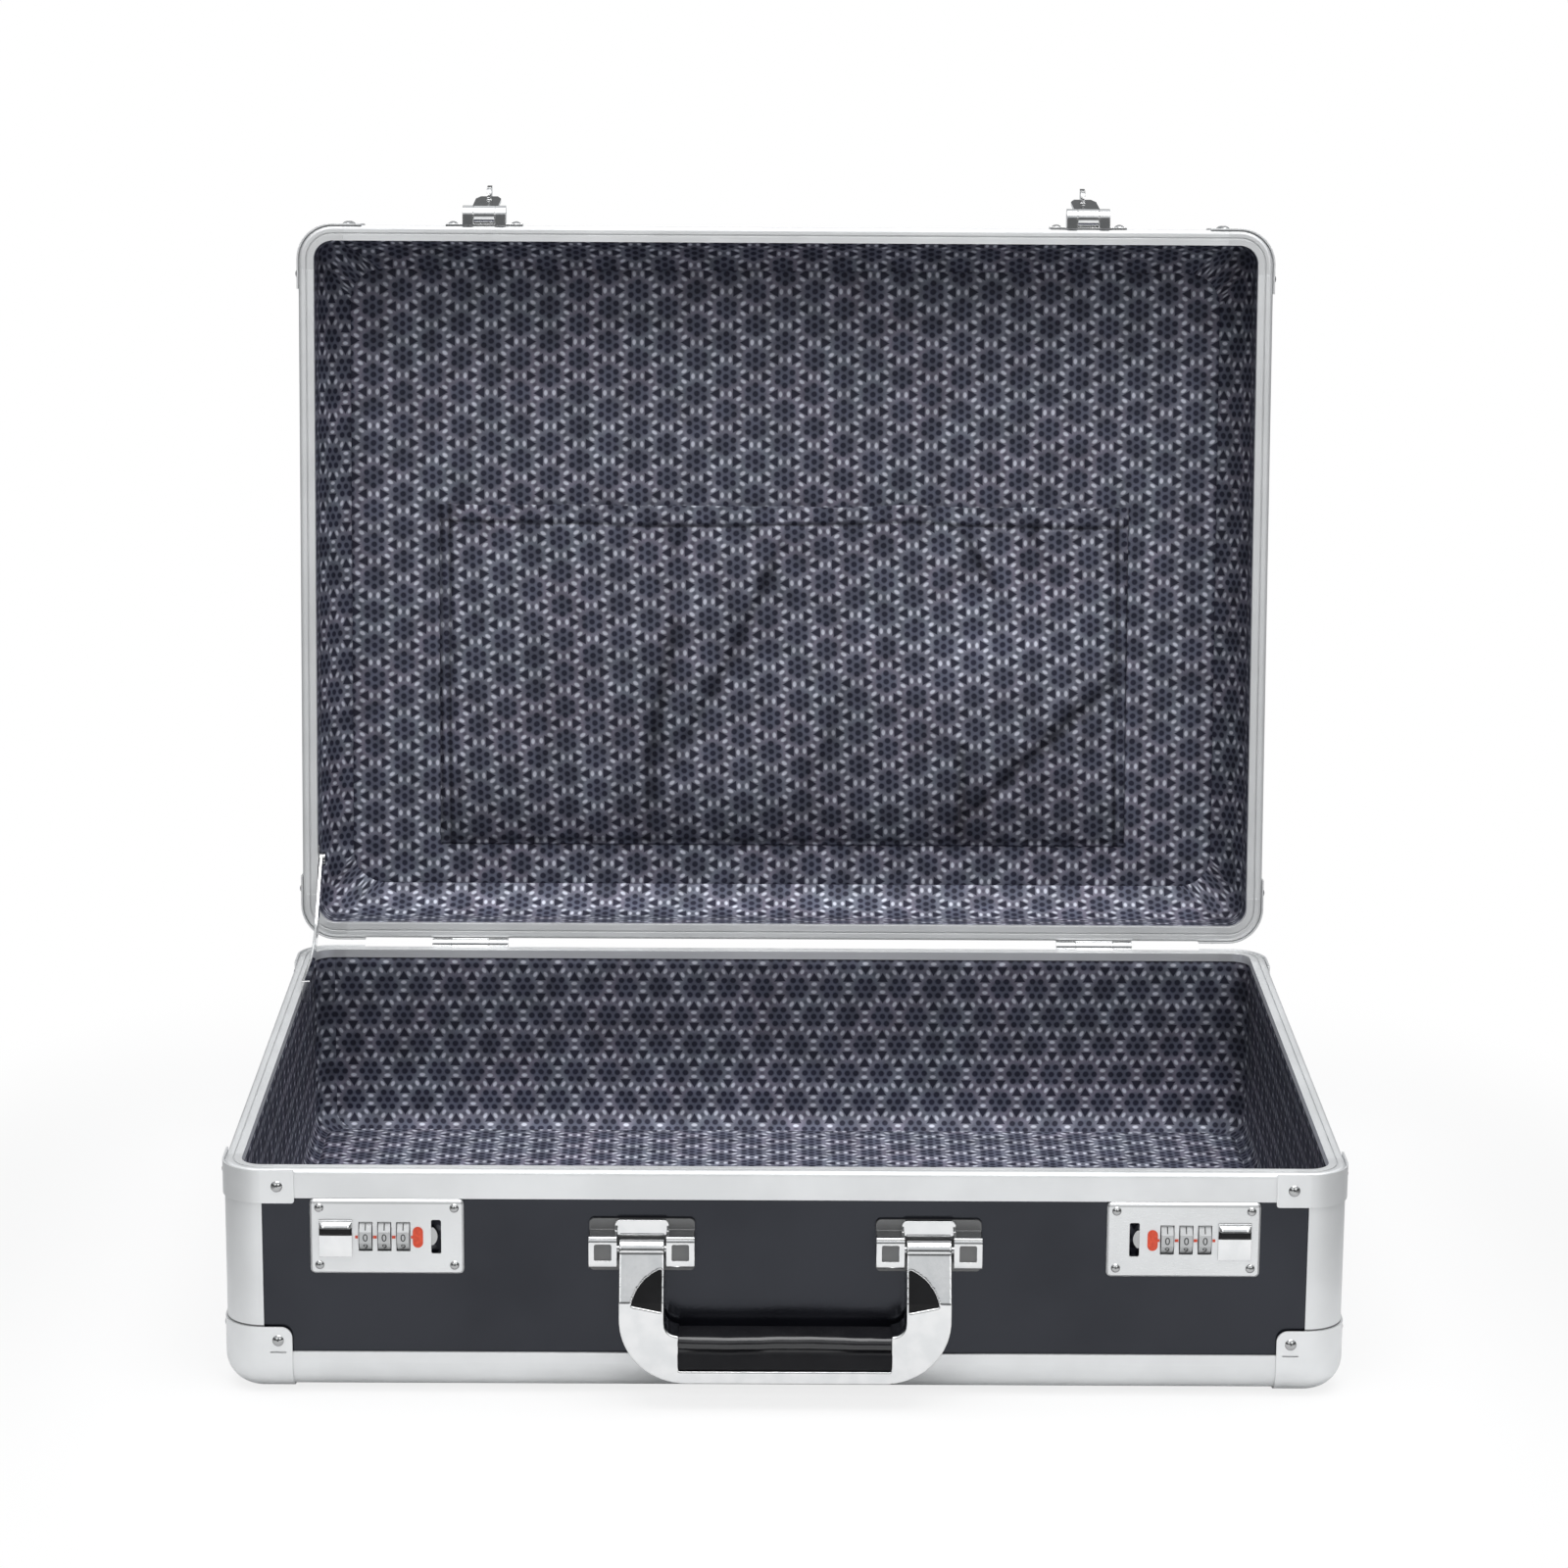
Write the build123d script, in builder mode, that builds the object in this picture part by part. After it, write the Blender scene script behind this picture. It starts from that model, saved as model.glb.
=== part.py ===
from build123d import *
from math import cos, radians, sin
import os

os.makedirs("parts", exist_ok=True)

# Case, measured over the aluminium extrusions, with the lid standing open
case_width = 458.0
case_depth = 338.0
base_shell = 95.2
lid_shell = 50.0
parting_gap = 0.4
lid_open_angle = 96.5
corner_radius = 16.0
edge_radius = 12.5

# Aluminium extrusion section
wall = 1.2
panel_thickness = 2.8
panel_clearance = 0.1
rim_width = 7.2
rim_fascia = 12.0
rim_web = 2.0
rim_lip = 4.0
rim_round = 2.0
rim_flange = 10.0
groove_start = 3.4
groove_width = 0.7
groove_depth = 0.8
edge_leg = 17.2
edge_channel = 10.0
edge_flange = 14.0
post_leg = 16.5
post_channel = 14.2
post_flange = 19.0
joint_gap = 0.1
panel_edge_clearance = 0.3

# Corner brackets at the parting plane and caps at the outer corners
cap_sheet = 0.8
bracket_leg = 21.0
bracket_ear = 29.8
bracket_height = 14.0
cap_leg = 28.0
cap_ear_round = 4.6
bracket_ear_round = 1.2
bracket_rivet_inset = 22.8
bracket_rivet_depth = 6.9
cap_rivet_inset = 22.2
cap_slit_length = 6.6
cap_slit_width = 0.6
cap_pad_radius = 3.2

# Rivets
rivet_head_radius = 2.4
rivet_head_height = 1.2
rivet_shank_radius = 1.4
rivet_clearance = 0.05
small_head_radius = 1.9
small_head_height = 1.1
small_shank_radius = 1.2

# Lining
lining_gap = 0.2
lining_thickness = 1.4

# Lid pocket
pocket_inset = 63.0
pocket_low = 40.0
pocket_high = 205.0
pocket_sheet = 1.0
pocket_space = 1.6
pocket_seam = 5.0

# Rear hinges
hinge_inset = 80.0
hinge_width = 36.0
hinge_offset = 2.6
hinge_knuckle_radius = 2.4
hinge_pin_radius = 1.2
hinge_leaf_sheet = 1.0
hinge_leaf_height = 10.6
hinge_end_knuckle = 9.0
hinge_side_gap = 0.2
hinge_rivet_x = 12.0
hinge_rivet_depth = 7.6
running_clearance = 0.06

# Combination locks, given for the right one: the left one is its mirror image
lock_inset = 67.2
lock_drop = 28.0
plate_width = 62.4
plate_height = 31.8
plate_depth = 2.0
plate_skin = 0.6
plate_wall = 1.4
plate_round = 2.0
plate_bevel = 0.8
lock_rivet_inset = (3.8, 3.7)
rivet_boss_radius = 3.0
lock_box_slot_margin = 3.8
lock_box_plate_margin = 4.0
lock_box_half_height = 9.2
lock_box_depth = 11.6
lock_box_sheet = 1.0
lock_box_gap = 0.3
lock_flange_sheet = 0.8
lock_flange_margin = 0.3
dial_count = 3
dial_pitch = 7.65
dial_middle = 1.0
dial_radius = 7.5
dial_width = 5.0
dial_stand_out = 2.0
dial_flats = 10
window_width = 5.6
window_height = 12.4
axle_radius = 1.5
axle_post_sheet = 1.2
axle_post_half_height = 4.0
axle_post_gap = 0.4
axle_post_top = 2.5
slot_x = -20.0
slot_width = 4.0
slot_height = 14.4
slide_sheet = 1.2
slide_clearance = 0.1
slide_inner = -17.0
slide_outer = 23.4
slide_half_height = 9.0
slide_window_inner = -12.8
slide_window_outer = 13.2
slide_window_half_height = 7.3
tongue_reach = 3.5
tongue_half_height = 3.75
tab_sheet = 1.2
tab_outer = 16.4
tab_depth = 5.5
tab_half_height = 3.6
button_x = 20.75
button_width = 13.4
button_low = -8.6
button_high = 7.2
button_sheet = 0.9
button_gap = 0.2
button_ridge_low = 0.6
button_ridge_foot = 1.4
button_ridge_stand = 3.4
button_travel = 3.0
stem_width = 6.0
stem_half_height = 2.4
stem_clearance = 0.3
spring_radius = 1.9
spring_wire = 0.35
spring_turns = 8
spring_drop = 2.8
mark_sheet = 0.3
mark_line_height = 1.1
mark_overrun = 1.4
mark_line_y = -0.2
oval_x = -12.6
oval_width = 4.2
oval_height = 8.8

# Hasps on the lid's front rim
hasp_open_angle = 172.0
hasp_barrel_radius = 4.6
hasp_barrel_gap = 0.3
hasp_axis_depth = 4.6
hasp_leaf_width = 36.0
hasp_leaf_sheet = 1.0
hasp_leaf_low = 0.8
hasp_leaf_high = 11.2
hasp_barrel_width = 20.2
hasp_middle_width = 9.8
hasp_side_gap = 0.25
hasp_rivet_x = 14.8
hasp_rivet_depth = 6.0
hasp_flap_width = 12.0
hasp_flap_sheet = 1.6
hasp_tip_width = 8.0
hasp_flap_gap = 1.4
hasp_flap_overhang = 8.0
hasp_pin_radius = 1.4
hasp_spring_bore = 3.3
hasp_spring_radius = 2.6
hasp_spring_length = 6.0
hasp_end_wall = 1.4
hook_width = 2.2
hook_height = 7.2
hook_neck = 0.9
hook_head = 2.8
hook_clearance = 0.3

# Handle
mount_x = 58.2
mount_width = 42.8
mount_low = 54.0
mount_high = 76.0
mount_sheet = 1.5
mount_round = 2.0
hood_width = 21.8
hood_low = 69.6
hood_stand = 3.4
lug_inner = 10.0
lug_low = 58.0
lug_high = 71.4
lug_stand = 12.0
lug_round = 2.4
lug_pocket = 7.0
lug_pocket_depth = 0.8
mount_rivet_x = 16.0
mount_rivet_y = 8.0
handle_pivot_stand = 7.0
handle_pivot_z = 65.0
handle_barrel_radius = 4.0
handle_pin_radius = 1.5
arm_half_width = 9.1
handle_low = 11.6
handle_back = 3.3
handle_front = 19.3
arm_front_top = 10.8
arm_shoulder_z = 46.0
handle_corner = 27.0
grip_half_length = 43.2
grip_low = 17.0
grip_high = 32.0
grip_round = 2.4
seat_corner = 5.8
grip_back = 4.3
scallop_high = 58.6
scallop_mid_z = 44.8
scallop_low = 42.2
scallop_strip = 0.9
scallop_reach = 13.2
scallop_bulge = 1.8
insert_recess = 0.5
handle_bevel = 0.8

# Lid stay on the left wall
stay_sheet = 1.2
stay_width = 7.0
stay_pivot_run = 39.5
stay_pivot_depth = 8.8
stay_pivot_radius = 2.0
stay_head_radius = 3.4
stay_head_sheet = 1.0
stay_bracket_sheet = 0.6
stay_bracket_width = 9.0
stay_bracket_length = 15.0
stay_gap = 0.15
stay_knee_run = 26.0
stay_end_run = 81.0
stay_rise = 2.0
stay_bend_radius = 60.0
stay_foot_length = 10.0
stay_foot_reach = 2.6

# Edges are picked by their length within this tolerance
length_tolerance = 0.01

# Places worked out from the sizes above
parting_height = cap_sheet + base_shell
hinge_y = case_depth / 2 + hinge_offset
hinge_z = parting_height + parting_gap / 2
panel_face = wall + panel_clearance
panel_back = panel_face + panel_thickness
channel_back = panel_back + panel_clearance
flange_back = channel_back + wall
lining_face = flange_back + lining_gap
lining_inner = lining_face + lining_thickness
front_y = -case_depth / 2 + panel_face
pocket_half_width = case_width / 2 - pocket_inset
hinge_x = case_width / 2 - hinge_inset
lock_x = case_width / 2 - lock_inset
lock_rivet_x = plate_width / 2 - lock_rivet_inset[0]
lock_rivet_y = plate_height / 2 - lock_rivet_inset[1]
lock_box_inner = slot_x - lock_box_slot_margin
lock_box_outer = plate_width / 2 - lock_box_plate_margin
stay_knee_y = case_depth / 2 - stay_knee_run
stay_end_y = case_depth / 2 - stay_end_run
lock_z = parting_height - lock_drop
opened = radians(lid_open_angle)
lid_forward = Vector(0, -cos(opened), sin(opened))
lid_inward = Vector(0, sin(opened), cos(opened))

# The origin lies on the floor, under the middle of the whole opened case from handle to lid
front_reach = front_y - handle_front - insert_recess
rear_reach = (
    hinge_y
    - (hinge_offset + case_depth - edge_radius) * cos(opened)
    + (parting_gap / 2 + lid_shell - edge_radius) * sin(opened)
    + edge_radius
    + cap_sheet
)
origin_y = (front_reach + rear_reach) / 2

# Shell coordinates: x to the right, z from the parting plane into the shell
base_frame = Plane(origin=(0, 0, parting_height), x_dir=(1, 0, 0), z_dir=(0, 0, -1))
lid_frame = Plane(
    origin=Vector(0, hinge_y, hinge_z)
    + lid_forward * (case_depth / 2 + hinge_offset)
    + lid_inward * (parting_gap / 2),
    x_dir=(1, 0, 0),
    z_dir=lid_inward,
)
shells = {"base": (base_frame, base_shell, 1), "lid": (lid_frame, lid_shell, -1)}

# Each wall of a shell is its inward direction and the middle of its outer face
left_and_right = [((1, 0, 0), (-case_width / 2, 0, 0)), ((-1, 0, 0), (case_width / 2, 0, 0))]
corners = [(-1, -1), (1, -1), (1, 1), (-1, 1)]

# The outer faces of a corner's two walls, in a corner's own coordinates, each with its way in
ear_planes = [
    (Plane(origin=(0, 0, 0), x_dir=(1, 0, 0), z_dir=(0, -1, 0)), -1),
    (Plane(origin=(0, 0, 0), x_dir=(0, 1, 0), z_dir=(1, 0, 0)), 1),
]


def keep(piece, node):
    """Sets a finished piece to the case's own origin, names it and writes it."""
    with BuildPart() as finished:
        add(piece.part.moved(Location((0, -origin_y, 0))))
    finished.part.label = node
    export_step(finished.part, f"parts/{node}.step")


def keep_in(frame, piece, node):
    """Sets a piece that is drawn in shell coordinates into its shell, names it and writes it."""
    with BuildPart() as placed:
        add(piece.part.moved(frame.location))
    keep(placed, node)


def wall_plane(inward, origin, level, into):
    """A section plane at one wall: x runs inwards, y runs along the shell's depth."""
    start = Vector(*origin) + Vector(0, 0, level)
    return Plane(origin=start, x_dir=inward, z_dir=Vector(*inward).cross(Vector(0, 0, into)))


def rim_section():
    """The rim at the parting plane: rounded outer edge, groove, lip and the panel's channel."""
    with BuildSketch() as section:
        with BuildLine():
            Polyline(
                (rim_round, 0),
                (groove_start, 0),
                (groove_start, groove_depth),
                (groove_start + groove_width, groove_depth),
                (groove_start + groove_width, 0),
                (rim_width, 0),
                (rim_width, rim_lip),
                (flange_back, rim_lip),
                (flange_back, rim_flange),
                (channel_back, rim_flange),
                (channel_back, rim_web),
                (wall, rim_web),
                (wall, rim_fascia),
                (0, rim_fascia),
                (0, rim_round),
            )
            RadiusArc((0, rim_round), (rim_round, 0), -rim_round)
        make_face()
    return section.sketch


def edge_section():
    """The outer edge: rounded, with a channel for each of the two panels that meet there."""
    with BuildSketch() as section:
        with BuildLine():
            RadiusArc((0, edge_radius), (edge_radius, 0), -edge_radius)
            Polyline(
                (edge_radius, 0),
                (edge_leg, 0),
                (edge_leg, wall),
                (edge_channel, wall),
                (edge_channel, channel_back),
                (edge_flange, channel_back),
                (edge_flange, flange_back),
                (flange_back, flange_back),
                (flange_back, edge_flange),
                (channel_back, edge_flange),
                (channel_back, edge_channel),
                (wall, edge_channel),
                (wall, edge_leg),
                (0, edge_leg),
                (0, edge_radius),
            )
        make_face()
    return section.sketch


def post_section():
    """The upright at a corner, seen from above, with its inside rounded round the lining."""
    with BuildSketch() as section:
        with BuildLine():
            RadiusArc((0, corner_radius), (corner_radius, 0), -corner_radius)
            Polyline(
                (corner_radius, 0),
                (post_leg, 0),
                (post_leg, wall),
                (post_channel, wall),
                (post_channel, channel_back),
                (post_flange, channel_back),
                (post_flange, flange_back),
                (corner_radius, flange_back),
            )
            RadiusArc(
                (corner_radius, flange_back),
                (flange_back, corner_radius),
                corner_radius - flange_back,
            )
            Polyline(
                (flange_back, corner_radius),
                (flange_back, post_flange),
                (channel_back, post_flange),
                (channel_back, post_channel),
                (wall, post_channel),
                (wall, post_leg),
                (0, post_leg),
                (0, corner_radius),
            )
        make_face()
    return section.sketch


def extrusion_pair(section, sides, length, level=0, into=1):
    """Two straight lengths of one section, on facing walls."""
    with BuildPart() as pair:
        for inward, origin in sides:
            with BuildSketch(wall_plane(inward, origin, level, into)):
                add(section)
            extrude(amount=length / 2, both=True)
    return pair


def corner_planes(level, into):
    """A plane at each corner of a shell: x and y run inwards along the walls."""
    planes = []
    for side, end in corners:
        along = (-side, 0, 0) if (side * end > 0) == (into > 0) else (0, -end, 0)
        origin = (side * case_width / 2, end * case_depth / 2, level)
        planes.append(Plane(origin=origin, x_dir=along, z_dir=(0, 0, into)))
    return planes


def at_corners(piece, planes):
    """One copy of a corner piece at each corner."""
    with BuildPart() as group:
        for plane in planes:
            add(piece.part.moved(plane.location))
    return group


def corner_block(outset, side_round, edge_round, reach):
    """A solid corner with a rounded upright and rounded outer edges."""
    with BuildPart() as block:
        with BuildSketch(Plane.XY.offset(-outset)):
            with BuildLine():
                start = -outset
                Polyline((start + side_round, start), (reach, start), (reach, reach))
                Polyline((reach, reach), (start, reach), (start, start + side_round))
                RadiusArc((start, start + side_round), (start + side_round, start), -side_round)
            make_face()
        extrude(amount=reach + outset)
        low = block.edges().group_by(Axis.Z)[0]
        outer = low.filter_by(lambda e: min(e.center().X, e.center().Y) < side_round / 2)
        fillet(outer, edge_round)
    return block


def corner_cap():
    """A pressed cap over an outer corner, with a slit below each rivet."""
    solid = corner_block(cap_sheet, corner_radius + cap_sheet, edge_radius + cap_sheet, cap_leg)
    hollow = corner_block(0, corner_radius, edge_radius, 2 * cap_leg)
    with BuildPart() as cap:
        add(solid.part)
        add(hollow.part, mode=Mode.SUBTRACT)
        far = cap.edges().filter_by(lambda e: e.length < 2 * cap_sheet)
        square = far.filter_by(lambda e: min(e.center().X, e.center().Y, e.center().Z) < 0)
        fillet(square, cap_ear_round)
        for ear, way_in in ear_planes:
            with BuildSketch(ear):
                with Locations((cap_rivet_inset, cap_rivet_inset)):
                    Circle(cap_pad_radius)
            extrude(amount=way_in * panel_face)
            with BuildSketch(ear):
                with Locations((cap_rivet_inset, cap_rivet_inset)):
                    Circle(rivet_shank_radius + rivet_clearance)
                with Locations((cap_rivet_inset, edge_leg)):
                    SlotOverall(cap_slit_length, cap_slit_width)
            extrude(amount=2 * cap_sheet, both=True, mode=Mode.SUBTRACT)
    return cap


def rim_bracket():
    """The rim's corner: the same section carried round the corner, with an ear along each wall."""
    with BuildPart() as bracket:
        with BuildSketch(Plane(origin=(bracket_leg, 0, 0), x_dir=(0, 1, 0), z_dir=(1, 0, 0))):
            add(rim_section())
        with BuildLine():
            Line((bracket_leg, 0), (corner_radius, 0))
            RadiusArc((corner_radius, 0), (0, corner_radius), corner_radius)
            Line((0, corner_radius), (0, bracket_leg))
        sweep()
        with BuildSketch(Plane.XY):
            with BuildLine():
                Line((corner_radius, 0), (bracket_ear, 0))
                Line((bracket_ear, 0), (bracket_ear, -cap_sheet))
                Line((bracket_ear, -cap_sheet), (corner_radius, -cap_sheet))
                RadiusArc(
                    (corner_radius, -cap_sheet),
                    (-cap_sheet, corner_radius),
                    corner_radius + cap_sheet,
                )
                Line((-cap_sheet, corner_radius), (-cap_sheet, bracket_ear))
                Line((-cap_sheet, bracket_ear), (0, bracket_ear))
                Line((0, bracket_ear), (0, corner_radius))
                RadiusArc((0, corner_radius), (corner_radius, 0), -corner_radius)
            make_face()
        extrude(amount=bracket_height)
        ends = bracket.edges().filter_by(lambda e: abs(e.length - cap_sheet) < length_tolerance)
        low_ends = ends.filter_by(lambda e: e.center().Z > bracket_height / 2)
        fillet(low_ends, bracket_ear_round)
        for ear, way_in in ear_planes:
            with BuildSketch(ear):
                with Locations((bracket_rivet_inset, bracket_rivet_depth)):
                    Circle(rivet_shank_radius + rivet_clearance)
            extrude(amount=2 * cap_sheet, both=True, mode=Mode.SUBTRACT)
    return bracket


def rivet(head_radius, head_height, shank_radius, shank_length):
    """A domed rivet: its head stands along +Z from the surface, its shank goes down."""
    dome_radius = (head_radius**2 + head_height**2) / (2 * head_height)
    with BuildPart() as piece:
        with BuildSketch(Plane.XZ):
            with BuildLine():
                RadiusArc((head_radius, 0), (0, head_height), -dome_radius)
                Polyline(
                    (0, head_height),
                    (0, -shank_length),
                    (shank_radius, -shank_length),
                    (shank_radius, 0),
                    (head_radius, 0),
                )
            make_face()
        revolve(axis=Axis.Z)
    return piece


def wall_at(end):
    """The front or rear wall of a shell, at one end of its local y."""
    return ((0, -end, 0), (0, end * case_depth / 2, 0))


def spots_on(walls, along, depth):
    """Planes on the outer faces of walls, at places along each wall and one depth into the shell."""
    planes = []
    for inward, origin in walls:
        outward = Vector(*inward) * -1
        run = Vector(0, 0, 1).cross(outward)
        for offset in along:
            spot = Vector(*origin) + run * offset + Vector(0, 0, depth)
            planes.append(Plane(origin=spot, x_dir=run, z_dir=outward))
    return planes


def copies(piece, planes, lift=0):
    """One copy of a piece on each plane."""
    with BuildPart() as group:
        for plane in planes:
            add(piece.part.moved(plane.offset(lift).location))
    return group


# Sections and corner pieces that both shells share
rim = rim_section()
edge = edge_section()
post = post_section()
cap = corner_cap()
bracket = rim_bracket()

# Lengths and places that both shells share
straight_rim = {"long": case_width - 2 * bracket_leg, "short": case_depth - 2 * bracket_leg}
straight_edge = {"long": case_width - 2 * edge_leg, "short": case_depth - 2 * edge_leg}
panel_margin = post_channel + panel_edge_clearance
floor_margin = edge_channel + panel_edge_clearance
rivet_hole = rivet_shank_radius + rivet_clearance
small_hole = small_shank_radius + rivet_clearance
large_rivet = (rivet_head_radius, rivet_head_height, rivet_shank_radius)
small_rivet = (small_head_radius, small_head_height, small_shank_radius)
corner_rivet = rivet(*large_rivet, cap_sheet + wall - rivet_clearance)
cap_rivet = rivet(*large_rivet, cap_sheet + panel_back)
leaf_rivet = rivet(*large_rivet, hinge_leaf_sheet + wall - rivet_clearance)
plate_rivet = rivet(*small_rivet, plate_depth + panel_thickness)
mount_rivet = rivet(*small_rivet, panel_thickness + mount_sheet / 2)
hasp_x = lock_x + slot_x
hinge_spots = [side * hinge_x + offset for side in (-1, 1) for offset in (-hinge_rivet_x, hinge_rivet_x)]
hasp_spots = [side * hasp_x + offset for side in (-1, 1) for offset in (-hasp_rivet_x, hasp_rivet_x)]
rim_corner_spots = {
    "long": [side * (case_width / 2 - bracket_rivet_inset) for side in (-1, 1)],
    "short": [side * (case_depth / 2 - bracket_rivet_inset) for side in (-1, 1)],
}
cap_corner_spots = {
    "long": [side * (case_width / 2 - cap_rivet_inset) for side in (-1, 1)],
    "short": [side * (case_depth / 2 - cap_rivet_inset) for side in (-1, 1)],
}

# The front plane: x to the right, y up, z out of the front panel's face
front_plane = Plane(origin=(0, front_y, 0), x_dir=(1, 0, 0), z_dir=(0, -1, 0))
lock_plane = Plane(origin=(lock_x, front_y - plate_depth, lock_z), x_dir=(1, 0, 0), z_dir=(0, -1, 0))
box_middle = (lock_box_inner + lock_box_outer) / 2
box_width = lock_box_outer - lock_box_inner + 2 * lock_box_sheet
box_height = 2 * (lock_box_half_height + lock_box_sheet)
box_spots = [-(lock_x + box_middle), lock_x + box_middle]
lock_rivet_run = [side * lock_x + offset for side in (-1, 1) for offset in (-lock_rivet_x, lock_rivet_x)]
mount_rivet_run = [
    side * mount_x + offset for side in (-1, 1) for offset in (-mount_rivet_x, mount_rivet_x)
]
mount_drop = parting_height - (mount_low + mount_high) / 2
mount_rivet_levels = [(mount_low + mount_high) / 2 + y for y in (-mount_rivet_y, mount_rivet_y)]
base_front = [wall_at(1)]
lock_rivet_spots = []
mount_rivet_spots = []
for end in (-1, 1):
    lock_rivet_spots += spots_on(base_front, lock_rivet_run, lock_drop + end * lock_rivet_y)
    mount_rivet_spots += spots_on(base_front, mount_rivet_run, mount_drop + end * mount_rivet_y)

# Shells
for shell, (frame, height, front) in shells.items():
    front_wall = wall_at(front)
    rear_wall = wall_at(-front)
    front_and_rear = [front_wall, rear_wall]
    post_length = height - rim_fascia - edge_leg - 2 * joint_gap
    panel_top = rim_web + panel_edge_clearance
    panel_height = height - floor_margin - panel_top
    leaf_spots = spots_on([rear_wall], hinge_spots, hinge_rivet_depth)
    if shell == "lid":
        leaf_spots += spots_on([front_wall], hasp_spots, hasp_rivet_depth)

    for run, walls in (("long", front_and_rear), ("short", left_and_right)):
        with BuildPart() as rims:
            add(extrusion_pair(rim, walls, straight_rim[run]).part)
            with BuildSketch(*spots_on(walls, rim_corner_spots[run], bracket_rivet_depth)):
                Circle(rivet_hole)
            extrude(amount=-(wall + panel_clearance / 2), mode=Mode.SUBTRACT)
            if run == "long":
                with BuildSketch(*leaf_spots):
                    Circle(rivet_hole)
                extrude(amount=-(wall + panel_clearance / 2), mode=Mode.SUBTRACT)
        keep_in(frame, rims, f"{shell}_rims_{run}")

        with BuildPart() as edges:
            add(extrusion_pair(edge, walls, straight_edge[run], height, -1).part)
        keep_in(frame, edges, f"{shell}_edges_{run}")

    with BuildPart() as upright:
        with BuildSketch(Plane.XY.offset(rim_fascia + joint_gap)):
            add(post)
        extrude(amount=post_length)
    keep_in(frame, at_corners(upright, corner_planes(0, 1)), f"{shell}_corner_posts")
    keep_in(frame, at_corners(bracket, corner_planes(0, 1)), f"{shell}_rim_brackets")
    keep_in(frame, at_corners(cap, corner_planes(height, -1)), f"{shell}_corner_caps")

    # Wall panels, with holes for the cap rivets
    side_length = case_depth - 2 * panel_margin
    long_length = case_width - 2 * panel_margin
    cap_depth = height - cap_rivet_inset
    for name, walls, length, run in (
        ("side_panels", left_and_right, side_length, "short"),
        ("front_panel", [front_wall], long_length, "long"),
        ("rear_panel", [rear_wall], long_length, "long"),
    ):
        with BuildPart() as panel:
            for inward, origin in walls:
                with BuildSketch(wall_plane(inward, origin, panel_top, 1)):
                    with Locations((panel_face, 0)):
                        Rectangle(panel_thickness, panel_height, align=(Align.MIN, Align.MIN))
                extrude(amount=length / 2, both=True)
            with BuildSketch(*spots_on(walls, cap_corner_spots[run], cap_depth)):
                Circle(rivet_hole)
            extrude(amount=-2 * panel_back, mode=Mode.SUBTRACT)
            if (shell, name) == ("base", "front_panel"):
                with BuildSketch(*spots_on(walls, box_spots, lock_drop)):
                    Rectangle(box_width + 2 * lock_box_gap, box_height + 2 * lock_box_gap)
                with BuildSketch(*lock_rivet_spots, *mount_rivet_spots):
                    Circle(small_hole)
                extrude(amount=-2 * panel_back, mode=Mode.SUBTRACT)
        keep_in(frame, panel, f"{shell}_{name}")

    with BuildPart() as floor:
        with BuildSketch(Plane.XY.offset(height - panel_back)):
            Rectangle(case_width - 2 * floor_margin, case_depth - 2 * floor_margin)
        extrude(amount=panel_thickness)
    keep_in(frame, floor, "base_bottom_panel" if shell == "base" else "lid_top_panel")

    # Lining: a tray under the rim's lip
    tray_top = rim_lip + joint_gap
    with BuildPart() as lining:
        with BuildSketch(Plane.XY.offset(tray_top)):
            RectangleRounded(
                case_width - 2 * lining_face, case_depth - 2 * lining_face, corner_radius - lining_face
            )
        extrude(amount=height - lining_face - tray_top)
        with BuildSketch(Plane.XY.offset(tray_top)):
            RectangleRounded(
                case_width - 2 * lining_inner, case_depth - 2 * lining_inner, corner_radius - lining_inner
            )
        extrude(amount=height - lining_inner - tray_top, mode=Mode.SUBTRACT)
        if shell == "base":
            with BuildSketch(*spots_on([front_wall], box_spots, lock_drop)):
                Rectangle(box_width + 2 * lock_box_gap, box_height + 2 * lock_box_gap)
            extrude(amount=-2 * lining_inner, mode=Mode.SUBTRACT)
    keep_in(frame, lining, f"{shell}_lining")

    # Rivets of the corner pieces, the hinges and the front fittings
    with BuildPart() as rivets:
        for run, walls in (("long", front_and_rear), ("short", left_and_right)):
            rim_spots = spots_on(walls, rim_corner_spots[run], bracket_rivet_depth)
            cap_spots = spots_on(walls, cap_corner_spots[run], cap_depth)
            add(copies(corner_rivet, rim_spots, cap_sheet).part)
            add(copies(cap_rivet, cap_spots, cap_sheet).part)
        add(copies(leaf_rivet, leaf_spots, hinge_leaf_sheet).part)
        if shell == "base":
            add(copies(plate_rivet, lock_rivet_spots, plate_depth - panel_face).part)
            inner_spots = [
                Plane(origin=spot.origin - spot.z_dir * panel_back, x_dir=spot.x_dir, z_dir=-spot.z_dir)
                for spot in mount_rivet_spots
            ]
            add(copies(mount_rivet, inner_spots).part)
    keep_in(frame, rivets, f"{shell}_rivets")

# Rear hinges, in shell coordinates: the axis lies off the rear wall, half a gap from the parting plane
end_knuckle_x = (hinge_width - hinge_end_knuckle) / 2
end_knuckles = {"x": [-end_knuckle_x, end_knuckle_x], "width": hinge_end_knuckle}
middle_knuckle = {"x": [0], "width": hinge_width - 2 * hinge_end_knuckle - 2 * hinge_side_gap}


def knuckle_planes(front, offsets):
    """Planes across a shell's hinge axis, at places along each hinge."""
    axis_y = -front * (case_depth / 2 + hinge_offset)
    return [
        Plane(origin=(middle + x, axis_y, -parting_gap / 2), x_dir=(0, -front, 0), z_dir=(-front, 0, 0))
        for middle in (-hinge_x, hinge_x)
        for x in offsets
    ]


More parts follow.
